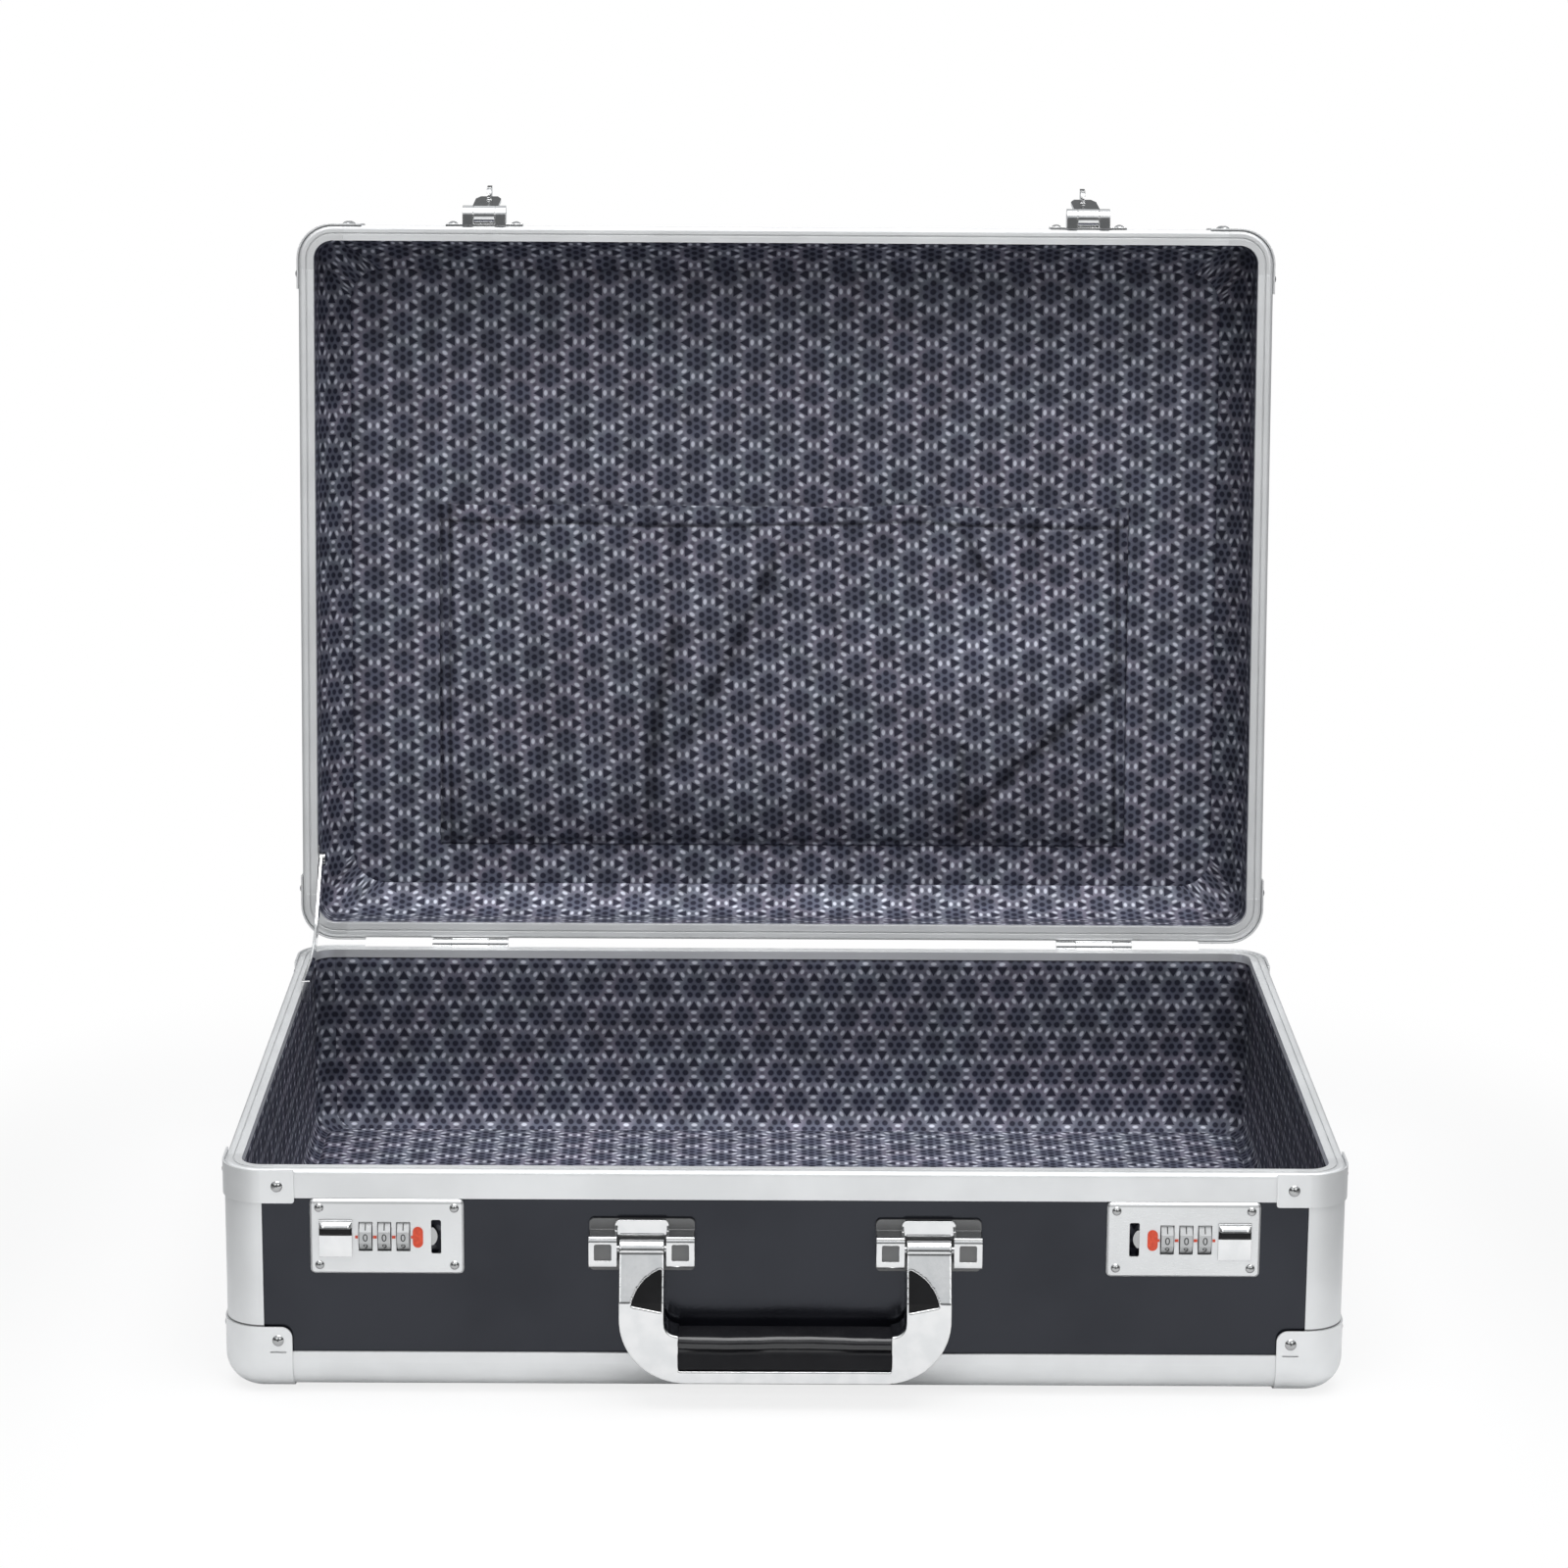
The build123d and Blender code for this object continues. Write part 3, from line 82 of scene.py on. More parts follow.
# Node graphs
class Graph:
    """A material's node graph, built from plain calls."""

    def __init__(self, name):
        self.material = bpy.data.materials.new(name)
        self.material.use_nodes = True
        self.tree = self.material.node_tree
        self.tree.nodes.clear()
        self.output = self.tree.nodes.new("ShaderNodeOutputMaterial")
        self.shader = self.tree.nodes.new("ShaderNodeBsdfPrincipled")
        self.tree.links.new(self.shader.outputs[0], self.output.inputs[0])

    def node(self, kind, inputs=(), **settings):
        made = self.tree.nodes.new("ShaderNode" + kind)
        for key, value in settings.items():
            setattr(made, key, value)
        for key, value in dict(inputs).items():
            self.feed(made.inputs[key], value)
        return made

    def feed(self, socket, value):
        if isinstance(value, bpy.types.NodeSocket):
            self.tree.links.new(value, socket)
        else:
            socket.default_value = value

    def math(self, operation, a, b=0.0):
        made = self.node("Math", operation=operation)
        for socket, value in zip(made.inputs, (a, b)):
            self.feed(socket, value)
        return made.outputs[0]

    def ramp(self, value, low, high, to_low=0.0, to_high=1.0):
        made = self.node("MapRange", interpolation_type="SMOOTHSTEP")
        settings = {"Value": value, "From Min": low, "From Max": high, "To Min": to_low, "To Max": to_high}
        for key, number in settings.items():
            self.feed(made.inputs[key], number)
        return made.outputs[0]

    def mix(self, factor, a, b):
        made = self.node("Mix", data_type="RGBA")
        for socket, value in zip((made.inputs[0], made.inputs[6], made.inputs[7]), (factor, a, b)):
            self.feed(socket, value)
        return made.outputs[2]

    def noise(self, vector, scale, detail=2.0, roughness=0.5):
        made = self.node("TexNoise")
        settings = {"Vector": vector, "Scale": scale, "Detail": detail, "Roughness": roughness}
        for key, value in settings.items():
            self.feed(made.inputs[key], value)
        return made.outputs[0]

    def place(self, scale=(1, 1, 1), rotation=(0, 0, 0), kind="Object"):
        source = self.node("TexCoord").outputs[kind]
        made = self.node("Mapping")
        self.feed(made.inputs["Vector"], source)
        made.inputs["Scale"].default_value = scale
        made.inputs["Rotation"].default_value = rotation
        return made.outputs[0]

    def bump(self, height, strength, distance, edge=0.0):
        """Relief from a height; edge is the radius to which sharp edges look rounded, in millimetres."""
        made = self.node("Bump")
        self.feed(made.inputs["Height"], height)
        if edge:
            rounded = self.node("Bevel", samples=4)
            rounded.inputs["Radius"].default_value = edge * mm
            self.feed(made.inputs["Normal"], rounded.outputs[0])
        made.inputs["Strength"].default_value = strength
        made.inputs["Distance"].default_value = distance
        self.tree.links.new(made.outputs[0], self.shader.inputs["Normal"])

    def set(self, **values):
        for key, value in values.items():
            self.feed(self.shader.inputs[key.replace("_", " ")], value)


def grey(level, tint=(1, 1, 1)):
    return (level * tint[0], level * tint[1], level * tint[2], 1.0)


cool = (0.985, 0.995, 1.0)


def satin_metal(
    name, stretch, rotation=(0, 0, 0), level=0.76, rough=(0.38, 0.5), lines=0.3, edge=0.3,
    metallic=0.6, seam=None
):
    """Anodised aluminium with fine drawing lines.

    seam is the height of a line of painted shade, as at a joint or a groove, and its depth of tone.
    """
    g = Graph(name)
    grain = g.noise(g.place(stretch, rotation), 1.0, 4.0, 0.6)
    cloud = g.noise(g.place(), 28.0, 3.0, 0.55)
    smudge = g.noise(g.place(), 9.0, 2.0, 0.5)
    colour = g.mix(g.ramp(cloud, 0.3, 0.7), grey(level * 0.95, cool), grey(level * 1.03, cool))
    if seam:
        split = g.node("SeparateXYZ")
        g.feed(split.inputs[0], g.place())
        # A band of painted shade at the seam's height
        away = g.math("ABSOLUTE", g.math("SUBTRACT", split.outputs[2], seam[0] * mm))
        colour = g.mix(g.ramp(away, 0.25 * mm, 0.55 * mm, seam[1], 0.0), colour, grey(0.03))
    g.set(
        Base_Color=colour,
        Metallic=metallic,
        Roughness=g.math(
            "ADD", g.ramp(grain, 0.3, 0.7, rough[0], rough[1]), g.ramp(smudge, 0.45, 0.75, 0.0, 0.07)
        ),
    )
    g.bump(grain, lines, 0.00006, edge)
    return g.material


def bright_metal(name, level=0.7, rough=(0.07, 0.14), dents=0.05, edge=0.5):
    """Polished, plated metal with faint waves and wiping marks."""
    g = Graph(name)
    wave = g.noise(g.place(), 140.0, 2.0, 0.5)
    wipe = g.noise(g.place((900, 220, 900)), 1.0, 3.0, 0.6)
    g.set(
        Base_Color=g.mix(g.ramp(wave, 0.3, 0.7), grey(level * 0.96, cool), grey(level * 1.04)),
        Metallic=1.0,
        Roughness=g.ramp(wipe, 0.3, 0.75, rough[0], rough[1]),
    )
    g.bump(wave, dents, 0.0002, edge)
    return g.material


def mount_metal():
    """Plated mounts on black plates, which lie close to the panel, with painted dark reflection on the
    floors of the lugs' front pockets.
    """
    g = Graph("mount_plating")
    wave = g.noise(g.place(), 140.0, 2.0, 0.5)
    split = g.node("SeparateXYZ")
    g.feed(split.inputs[0], g.place())
    plate = g.ramp(split.outputs[1], (panel_face_y - 1.8) * mm, (panel_face_y - 1.4) * mm)
    # Painted dark reflection on the floors of the lugs' front pockets
    off_floor = g.math("ABSOLUTE", g.math("SUBTRACT", split.outputs[1], (panel_face_y - lug_floor) * mm))
    painted_pocket_reflection = g.ramp(off_floor, 0.15 * mm, 0.3 * mm, 0.85, 0.0)
    # The black plates together with the painted dark reflection
    black_plate_and_reflection = g.math("MAXIMUM", plate, painted_pocket_reflection)
    colour = g.mix(g.ramp(wave, 0.3, 0.7), grey(0.67, cool), grey(0.72))
    g.set(
        Base_Color=g.mix(black_plate_and_reflection, colour, grey(0.035)),
        Metallic=g.math("SUBTRACT", 1.0, g.math("MULTIPLY", black_plate_and_reflection, 0.7)),
        Roughness=g.ramp(g.math("ADD", wave, black_plate_and_reflection), 0.3, 1.4, 0.07, 0.35),
    )
    g.bump(wave, 0.05, 0.0002, 0.5)
    return g.material


def panel_skin():
    """Charcoal leather-grained laminate."""
    g = Graph("charcoal_laminate")
    cells = g.node("TexVoronoi", feature="F1")
    g.feed(cells.inputs["Vector"], g.place())
    cells.inputs["Scale"].default_value = 900.0
    pebble = cells.outputs["Distance"]
    fine = g.noise(g.place(), 2600.0, 2.0, 0.5)
    cloud = g.noise(g.place(), 22.0, 4.0, 0.6)
    height = g.math("ADD", g.math("MULTIPLY", pebble, 0.7), g.math("MULTIPLY", fine, 0.5))
    mottle = g.math("ADD", g.math("MULTIPLY", cloud, 0.6), g.math("MULTIPLY", pebble, 0.4))
    g.set(
        Base_Color=g.mix(
            g.ramp(cloud, 0.3, 0.7), grey(0.0052, (0.9, 0.95, 1.3)), grey(0.0075, (0.9, 0.95, 1.3))
        ),
        Roughness=g.ramp(mottle, 0.2, 0.7, 0.15, 0.22),
        Specular_IOR_Level=g.ramp(g.noise(g.place(), 14.0, 3.0, 0.55), 0.3, 0.6, 0.44, 0.52),
    )
    g.shader.inputs["Specular Tint"].default_value = (0.84, 0.88, 1.0, 1)
    g.bump(height, 0.22, 0.00008)
    return g.material


def printed_cloth():
    """Printed lining cloth. U runs along a line of neighbouring flowers and is in metres."""
    g = Graph("printed_lining")
    repeat = 0.0163
    row = repeat * sqrt(3)
    uv = g.node("UVMap", uv_map="cloth").outputs[0]
    split = g.node("SeparateXYZ")
    g.feed(split.inputs[0], uv)
    wobble = g.noise(g.place(kind="UV"), 60.0, 2.0, 0.5)
    push = g.math("MULTIPLY", g.math("SUBTRACT", wobble, 0.5), 0.0012)
    u = g.math("ADD", split.outputs[0], push)
    v = g.math("SUBTRACT", split.outputs[1], push)

    def to_middle(value, step, shift):
        moved = g.math("ADD", value, shift)
        return g.math("SUBTRACT", g.math("FLOORED_MODULO", moved, step), step / 2)

    ax, ay = to_middle(u, repeat, repeat / 2), to_middle(v, row, row / 2)
    bx, by = to_middle(u, repeat, 0.0), to_middle(v, row, 0.0)
    a_long = g.math("ADD", g.math("MULTIPLY", ax, ax), g.math("MULTIPLY", ay, ay))
    b_long = g.math("ADD", g.math("MULTIPLY", bx, bx), g.math("MULTIPLY", by, by))
    nearer = g.math("LESS_THAN", a_long, b_long)
    farther = g.math("SUBTRACT", 1.0, nearer)

    def pick(one, other):
        return g.math("ADD", g.math("MULTIPLY", one, nearer), g.math("MULTIPLY", other, farther))

    x = g.math("ABSOLUTE", pick(ax, bx))
    y = g.math("ABSOLUTE", pick(ay, by))
    # Folded about the 30 degree line, and the part above it turned into the first sixth
    turned_x = g.math("ADD", g.math("MULTIPLY", x, 0.5), g.math("MULTIPLY", y, sqrt(3) / 2))
    turned_y = g.math("SUBTRACT", g.math("MULTIPLY", y, 0.5), g.math("MULTIPLY", x, sqrt(3) / 2))
    turned_y = g.math("ABSOLUTE", turned_y)
    above = g.math("GREATER_THAN", y, g.math("MULTIPLY", x, 1 / sqrt(3)))
    below = g.math("SUBTRACT", 1.0, above)
    x = g.math("ADD", g.math("MULTIPLY", turned_x, above), g.math("MULTIPLY", x, below))
    y = g.math("ADD", g.math("MULTIPLY", turned_y, above), g.math("MULTIPLY", y, below))

    def spot(at_x, at_y, half_x, half_y, soft):
        """1 inside an oval spot, 0 outside; sizes are shares of the repeat."""
        dx = g.math("DIVIDE", g.math("SUBTRACT", x, at_x * repeat), half_x * repeat)
        dy = g.math("DIVIDE", g.math("SUBTRACT", y, at_y * repeat), half_y * repeat)
        away = g.math("SQRT", g.math("ADD", g.math("MULTIPLY", dx, dx), g.math("MULTIPLY", dy, dy)))
        return g.ramp(away, 1.0 - soft, 1.0 + soft, 1.0, 0.0)

    thread_u = g.noise(g.place((9000, 700, 1), kind="UV"), 1.0, 2.0, 0.5)
    thread_v = g.noise(g.place((700, 9000, 1), kind="UV"), 1.0, 2.0, 0.5)
    threads = g.math("ADD", g.math("MULTIPLY", thread_u, 0.5), g.math("MULTIPLY", thread_v, 0.5))
    dots = g.math("MAXIMUM", spot(0, 0, 0.085, 0.085, 0.3), spot(0.25, 0, 0.085, 0.085, 0.3))
    core = g.ramp(g.math("SQRT", g.math("MINIMUM", a_long, b_long)), 0.2 * repeat, 0.44 * repeat)
    triangle = g.ramp(y, 0.182 * repeat, 0.212 * repeat)
    faint = spot(0.5, 0.0, 0.075, 0.045, 0.5)
    dash = spot(0.5, 0.117, 0.082, 0.05, 0.4)
    dark = g.math("MAXIMUM", g.math("MAXIMUM", dots, triangle), g.math("MULTIPLY", faint, 0.55))
    tone = g.noise(uv, 75.0, 3.0, 0.6)
    hue = g.noise(uv, 26.0, 2.0, 0.5)
    ground = g.mix(g.ramp(hue, 0.35, 0.65), (0.092, 0.101, 0.126, 1), (0.106, 0.098, 0.13, 1))
    ground = g.mix(core, (0.048, 0.052, 0.076, 1), ground)
    ground = g.mix(g.ramp(threads, 0.35, 0.65, 0.0, 0.25), ground, (0.13, 0.132, 0.155, 1))
    colour = g.mix(g.math("MULTIPLY", dark, 0.92), ground, (0.009, 0.009, 0.018, 1))
    colour = g.mix(g.math("MULTIPLY", dash, 0.86), colour, (0.36, 0.37, 0.42, 1))
    # The shade attribute carries the painted light and painted shade given to each piece of cloth
    shade = g.node("Attribute", attribute_name="shade").outputs["Fac"]
    level = g.math("MULTIPLY", shade, g.ramp(tone, 0.3, 0.7, 1.16, 1.8))
    scaled = g.node("VectorMath", operation="SCALE")
    g.feed(scaled.inputs[0], colour)
    g.feed(scaled.inputs["Scale"], level)
    g.set(Base_Color=scaled.outputs[0], Roughness=g.ramp(threads, 0.3, 0.7, 0.55, 0.7))
    g.shader.inputs["Specular IOR Level"].default_value = 0.16
    g.bump(threads, 0.35, 0.00012)
    return g.material


def moulded_black():
    """Glossy black moulding with a faint grain."""
    g = Graph("black_inlay")
    cells = g.node("TexVoronoi", feature="F1")
    g.feed(cells.inputs["Vector"], g.place())
    cells.inputs["Scale"].default_value = 200.0
    cloud = g.noise(g.place(), 60.0, 3.0, 0.6)
    g.set(
        Base_Color=g.mix(
            g.ramp(cloud, 0.3, 0.7), grey(0.0048, (1, 1, 1.06)), grey(0.0078, (1, 1, 1.08))
        ),
        Roughness=g.ramp(cloud, 0.3, 0.7, 0.1, 0.2),
    )
    g.shader.inputs["Specular IOR Level"].default_value = 0.16
    g.bump(cells.outputs["Distance"], 0.02, 0.0002)
    return g.material


def grip_leather():
    """Black grip: a glossy roll along the top, and a satin face below the groove."""
    g = Graph("grip_moulding")
    split = g.node("SeparateXYZ")
    g.feed(split.inputs[0], g.place())
    roll = g.ramp(split.outputs[2], (grip_groove - 0.4) * mm, (grip_groove + 0.4) * mm)
    cells = g.node("TexVoronoi", feature="F1")
    g.feed(cells.inputs["Vector"], g.place())
    cells.inputs["Scale"].default_value = 700.0
    cloud = g.noise(g.place(), 60.0, 3.0, 0.6)
    g.set(
        Base_Color=g.mix(g.ramp(cloud, 0.3, 0.7), (0.008, 0.008, 0.0095, 1), (0.012, 0.012, 0.0135, 1)),
        Roughness=g.math("SUBTRACT", g.ramp(cloud, 0.3, 0.7, 0.36, 0.46), g.math("MULTIPLY", roll, 0.24)),
        Specular_IOR_Level=g.math("ADD", 0.1, g.math("MULTIPLY", roll, 0.55)),
    )
    g.bump(cells.outputs["Distance"], 0.06, 0.0002)
    return g.material


def red_paint():
    g = Graph("red_enamel")
    cloud = g.noise(g.place(), 700.0, 3.0, 0.6)
    g.set(
        Base_Color=g.mix(g.ramp(cloud, 0.3, 0.7), (0.56, 0.045, 0.012, 1), (0.7, 0.075, 0.024, 1)),
        Roughness=g.ramp(cloud, 0.3, 0.7, 0.3, 0.42),
    )
    g.bump(cloud, 0.08, 0.00005)
    return g.material


def ink():
    g = Graph("dial_ink")
    cloud = g.noise(g.place(), 2600.0, 2.0, 0.5)
    g.set(
        Base_Color=g.mix(g.ramp(cloud, 0.3, 0.7), grey(0.02), grey(0.045)),
        Roughness=g.ramp(cloud, 0.3, 0.7, 0.4, 0.55),
    )
    return g.material


panel_face_y = -(half_depth - 1.3) - origin_shift
lug_floor = 11.2
grip_groove = 25.4
lid_turn = (pi / 2 - open_angle, 0, 0)
metal_x = satin_metal("aluminium_drawn_x", (60, 6000, 6000))
metal_y = satin_metal("aluminium_drawn_y", (6000, 60, 6000))
metal_run = satin_metal("aluminium_drawn_lid", (6000, 6000, 60), lid_turn)
# Lines of painted shade: on the posts just above the corner caps' top edge, and along the lock plates'
# groove
cap_shade_line = 29.1
plate_groove_shade = 82.3
metal_post = satin_metal("aluminium_drawn_post", (6000, 6000, 60), seam=(cap_shade_line, 0.8))
metal_pressed = satin_metal("aluminium_pressed", (2600, 2600, 2600), rough=(0.3, 0.38), lines=0.03)
metal_plate = satin_metal(
    "plate_metal", (300, 6000, 6000), level=0.7, rough=(0.26, 0.36), lines=0.03, edge=0.4,
    metallic=0.75, seam=(plate_groove_shade, 0.35)
)
metal_dial = satin_metal("dial_metal", (900, 5200, 5200), level=0.48, rough=(0.26, 0.4), lines=0.2)
metal_bright = bright_metal("bright_plating")
metal_button = bright_metal("button_plating", 0.72, (0.12, 0.2), 0.02, 0.3)
metal_mount = mount_metal()
metal_steel = bright_metal("rivet_steel", 0.4, (0.08, 0.15), 0.02, 0.0)
metal_dark = satin_metal("lock_works", (700, 700, 700), level=0.12, rough=(0.35, 0.5), lines=0.2)
laminate = panel_skin()
cloth = printed_cloth()
black = grip_leather()
black_gloss = moulded_black()
red = red_paint()
digit_ink = ink()

finishes = {
    "base_rims_long": metal_x, "base_rims_short": metal_y,
    "base_edges_long": metal_x, "base_edges_short": metal_y,
    "lid_rims_long": metal_x, "lid_rims_short": metal_run,
    "lid_edges_long": metal_x, "lid_edges_short": metal_run,
    "base_corner_posts": metal_post, "lid_corner_posts": metal_y,
    "base_rim_brackets": metal_pressed, "lid_rim_brackets": metal_pressed,
    "base_corner_caps": metal_pressed, "lid_corner_caps": metal_pressed,
    "base_rivets": metal_steel, "lid_rivets": metal_steel,
    "hinge_pins": metal_steel, "hasp_pins": metal_steel,
    "handle_pins": metal_steel, "dial_axles": metal_steel,
    "hinge_base_leaves": metal_bright, "hinge_lid_leaves": metal_bright, "hasp_leaves": metal_bright,
    "hasp_springs": metal_dark, "stay_bracket": metal_steel, "stay_arm": metal_bright,
    "handle_mounts": metal_mount, "handle_frame": metal_bright,
    "handle_grip": black, "handle_inserts": black_gloss, "reading_marks": red,
}
for name, node in nodes.items():
    finish = finishes.get(name)
    if finish is None:
        if "panel" in name:
            finish = laminate
        elif name.startswith(("lock_plate", "slide_button")):
            finish = metal_plate
        elif name.startswith("hasp_flap"):
            finish = metal_bright
        elif name.startswith(("lock_case", "button_spring")):
            finish = metal_dark
        elif name.startswith("latch_slide"):
            finish = metal_steel
        elif name.startswith("dial_"):
            finish = metal_dial
        else:
            finish = cloth
    node.data.materials.clear()
    node.data.materials.append(finish)


# Meshes
def mesh_object(name, points, faces, material, uvs=None, shades=None):
    """An object from points in metres; uvs and shades give one value for each point."""
    mesh = bpy.data.meshes.new(name)
    mesh.from_pydata([tuple(p) for p in points], [], faces)
    if uvs:
        layer = mesh.uv_layers.new(name="cloth")
        for loop in mesh.loops:
            layer.data[loop.index].uv = uvs[loop.vertex_index]
        shade = mesh.attributes.new("shade", "FLOAT", "POINT")
        shade.data.foreach_set("value", shades or [1.0] * len(points))
    mesh.materials.append(material)
    for polygon in mesh.polygons:
        polygon.use_smooth = True
    made = bpy.data.objects.new(name, mesh)
    bpy.context.scene.collection.objects.link(made)
    return made


def apply_modifiers(made):
    """Puts an object's modifiers into its mesh."""
    depsgraph = bpy.context.evaluated_depsgraph_get()
    mesh = bpy.data.meshes.new_from_object(made.evaluated_get(depsgraph))
    made.modifiers.clear()
    made.data = mesh


def thicken(made, thickness, offset):
    solid = made.modifiers.new("thickness", "SOLIDIFY")
    solid.thickness = thickness
    solid.offset = offset
    apply_modifiers(made)


def dressed_copy(name, body):
    """A copy of a CAD node, which stands for the node."""
    made = bpy.data.objects.new(name + "_dressed", nodes[name].data.copy())
    bpy.context.scene.collection.objects.link(made)
    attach(made, body)
    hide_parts(name)
    return made


# Cloth linings: a band round the walls that curves into the floor, and a floor piece
corner_steps = 8
side_steps = 60


def ring(inset, radius):
    """Points round a rounded rectangle, in shell coordinates, and the run to each of them."""
    half_x = half_width - lining_inset - inset
    half_y = half_depth - lining_inset - inset
    inner_x, inner_y = half_x - radius, half_y - radius
    found = []
    for start, end, middle, turn in (
        ((-inner_x, -half_y), (inner_x, -half_y), (inner_x, -inner_y), -90),
        ((half_x, -inner_y), (half_x, inner_y), (inner_x, inner_y), 0),
        ((inner_x, half_y), (-inner_x, half_y), (-inner_x, inner_y), 90),
        ((-half_x, inner_y), (-half_x, -inner_y), (-inner_x, -inner_y), 180),
    ):
        for step in range(side_steps):
            share = step / side_steps
            found.append(Vector(start).lerp(Vector(end), share))
        for step in range(corner_steps):
            angle = radians(turn + 90 * step / corner_steps)
            found.append(Vector(middle) + radius * Vector((cos(angle), sin(angle))))
    return found


def pucker(x, y, z, amount):
    """A gentle, fixed unevenness, as of cloth that is glued over board."""
    coarse = noise.noise(Vector((x / 38, y / 38, z / 38 + 5.2)))
    fine = noise.noise(Vector((x / 9, y / 9, z / 9 - 3.1)))
    return amount * (0.75 * coarse + 0.25 * fine)


def along_wall(column, places, first, along):
    """The run along a wall, measured straight on its flat part and shared out evenly round a corner."""
    span = side_steps + corner_steps
    wall, step = divmod(column, span)
    start = wall * span

    def flat(from_start, at):
        begin = first[from_start % len(first)]
        heading = (first[(from_start + 1) % len(first)] - begin).normalized()
        return along[from_start] + (places[at % len(places)] - begin).dot(heading)

    if wall > 3 or step <= side_steps:
        return flat(start, column)
    share = (step - side_steps) / corner_steps
    return flat(start, start + side_steps) * (1 - share) + flat(start + span, start + span) * share


def cloth_band(name, profile, frame_matrix, body, node, wave, light, across=False):
    """profile: pairs of inset and depth, from under the rim to the floor."""
    points, uvs, shades, faces = [], [], [], []
    first = ring(0, lining_corner)
    count = len(first)
    along = [0.0]
    for one, other in zip(first, first[1:] + first[:1]):
        along.append(along[-1] + (other - one).length)
    run = 0.0
    for level, (inset, depth) in enumerate(profile):
        if level:
            run += hypot(inset - profile[level - 1][0], depth - profile[level - 1][1])
        places = ring(inset, lining_corner + 0.5 * inset)
        for column in range(count + 1):
            place = places[column % count]
            free = min(1.0, max(0.0, (depth - 8) / 10))
            lift = wave * free * pucker(place.x, place.y, depth, 1.0)
            if inset < 1:
                place = place + place.normalized() * (wave * free - lift) / 2
                lift = 0.0
            points.append(frame_matrix @ (Vector((place.x, place.y, depth - abs(lift))) * mm))
            flat = along_wall(column, places, first, along)
            uvs.append((run * mm, flat * mm) if across else (flat * mm, run * mm))
            shades.append(light(place, depth))
    width = count + 1
    for level in range(len(profile) - 1):
        for column in range(count):
            corner = level * width + column
            faces.append((corner, corner + 1, corner + width + 1, corner + width))
    made = mesh_object(name, points, faces, cloth, uvs, shades)
    closing = bmesh.new()
    closing.from_mesh(made.data)
    bmesh.ops.remove_doubles(closing, verts=closing.verts, dist=0.001 * mm)
    closing.to_mesh(made.data)
    closing.free()
    thicken(made, lining_sheet * mm, 1)
    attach(made, body)
    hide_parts(node)


def cloth_floor(name, inset, radius, depth, rise, frame_matrix, body, turn, wave, light, edge_drop=1.4):
    """A cloth-covered board with softly rounded edges."""
    half_x = half_width - lining_inset - inset
    half_y = half_depth - lining_inset - inset
    steps_x, steps_y = 150, 110
    points, uvs, shades, faces = [], [], [], []

    def spaced(share, half):
        """Places close together near the edges."""
        edge = 8.0
        if share < 0.08:
            return -half + edge * (share / 0.08)
        if share > 0.92:
            return half - edge * ((1 - share) / 0.08)
        return (-half + edge) + (2 * half - 2 * edge) * (share - 0.08) / 0.84

    for row in range(steps_y + 1):
        for column in range(steps_x + 1):
            x = spaced(column / steps_x, half_x)
            y = spaced(row / steps_y, half_y)
            # Corner cells are drawn in to the rounded outline
            over_x, over_y = abs(x) - (half_x - radius), abs(y) - (half_y - radius)
            if over_x > 0 and over_y > 0:
                reach = hypot(over_x, over_y)
                share = max(over_x, over_y) / reach
                x = (half_x - radius + over_x * share) * (1 if x > 0 else -1)
                y = (half_y - radius + over_y * share) * (1 if y > 0 else -1)
                over_x, over_y = abs(x) - (half_x - radius), abs(y) - (half_y - radius)
                margin = radius - hypot(over_x, over_y)
            else:
                margin = min(half_x - abs(x), half_y - abs(y))
            roll = max(0.0, 1 - margin / 3.0)
            z = depth - rise + edge_drop * roll**2.2 - wave * pucker(x, y, 1.0, 1.0) * (1 - roll)
            points.append(frame_matrix @ (Vector((x, y, z)) * mm))
            uvs.append((y * mm, x * mm) if turn else (x * mm, y * mm))
            shades.append(light)
    for row in range(steps_y):
        for column in range(steps_x):
            corner = row * (steps_x + 1) + column
            faces.append((corner, corner + 1, corner + steps_x + 2, corner + steps_x + 1))
    made = mesh_object(name, points, faces, cloth, uvs, shades)
    thicken(made, floor_sheet * mm, 1)
    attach(made, body)


def cove(start_depth, radius, first, last, steps):
    """Profile points of a wall that curves inwards, from one angle off the upright to another."""
    found = []
    for step in range(1, steps + 1):
        angle = radians(first + (last - first) * step / steps)
        inset = radius * (cos(radians(first)) - cos(angle))
        found.append((inset, start_depth + radius * (sin(angle) - sin(radians(first)))))
    return found


base_cove = 7.0
base_wall_step = (base_floor_depth - base_cove - lining_top) / 20
base_profile = [(0, lining_top + step * base_wall_step) for step in range(21)]
base_profile += cove(base_floor_depth - base_cove, 7.2, 0, 74, 8)
lid_profile = [(0, lining_top + step * (24.0 - lining_top) / 7) for step in range(8)]
lid_profile += cove(24.0, 28.6, 12, 60, 14)


def rise(value, low, high):
    """A smooth step from 0 at low to 1 at high."""
    share = min(1.0, max(0.0, (value - low) / (high - low)))
    return share * share * (3 - 2 * share)


def base_light(place, depth):
    """Painted light on the base's cloth: lighter towards its floor, with painted shade on the right wall
    and, less, on the left wall.
    """
    right_wall = rise(place.x, half_width - 20, half_width - 8)
    left_wall = rise(-place.x, half_width - 20, half_width - 8)
    return (0.8 + 0.52 * rise(depth, 40, base_floor_depth)) * (1 - 0.5 * right_wall - 0.22 * left_wall)


def lid_light(place, depth):
    """Painted light on the lid's cloth: lighter on the curve beside the hinges, with painted shade on the
    right wall.
    """
    near_hinge = rise(place.y, half_depth - 30, half_depth - 12)
    right_wall = rise(place.x, half_width - 30, half_width - 10)
    return 1.0 + 0.3 * near_hinge * rise(depth, 24, 34) - 0.36 * right_wall


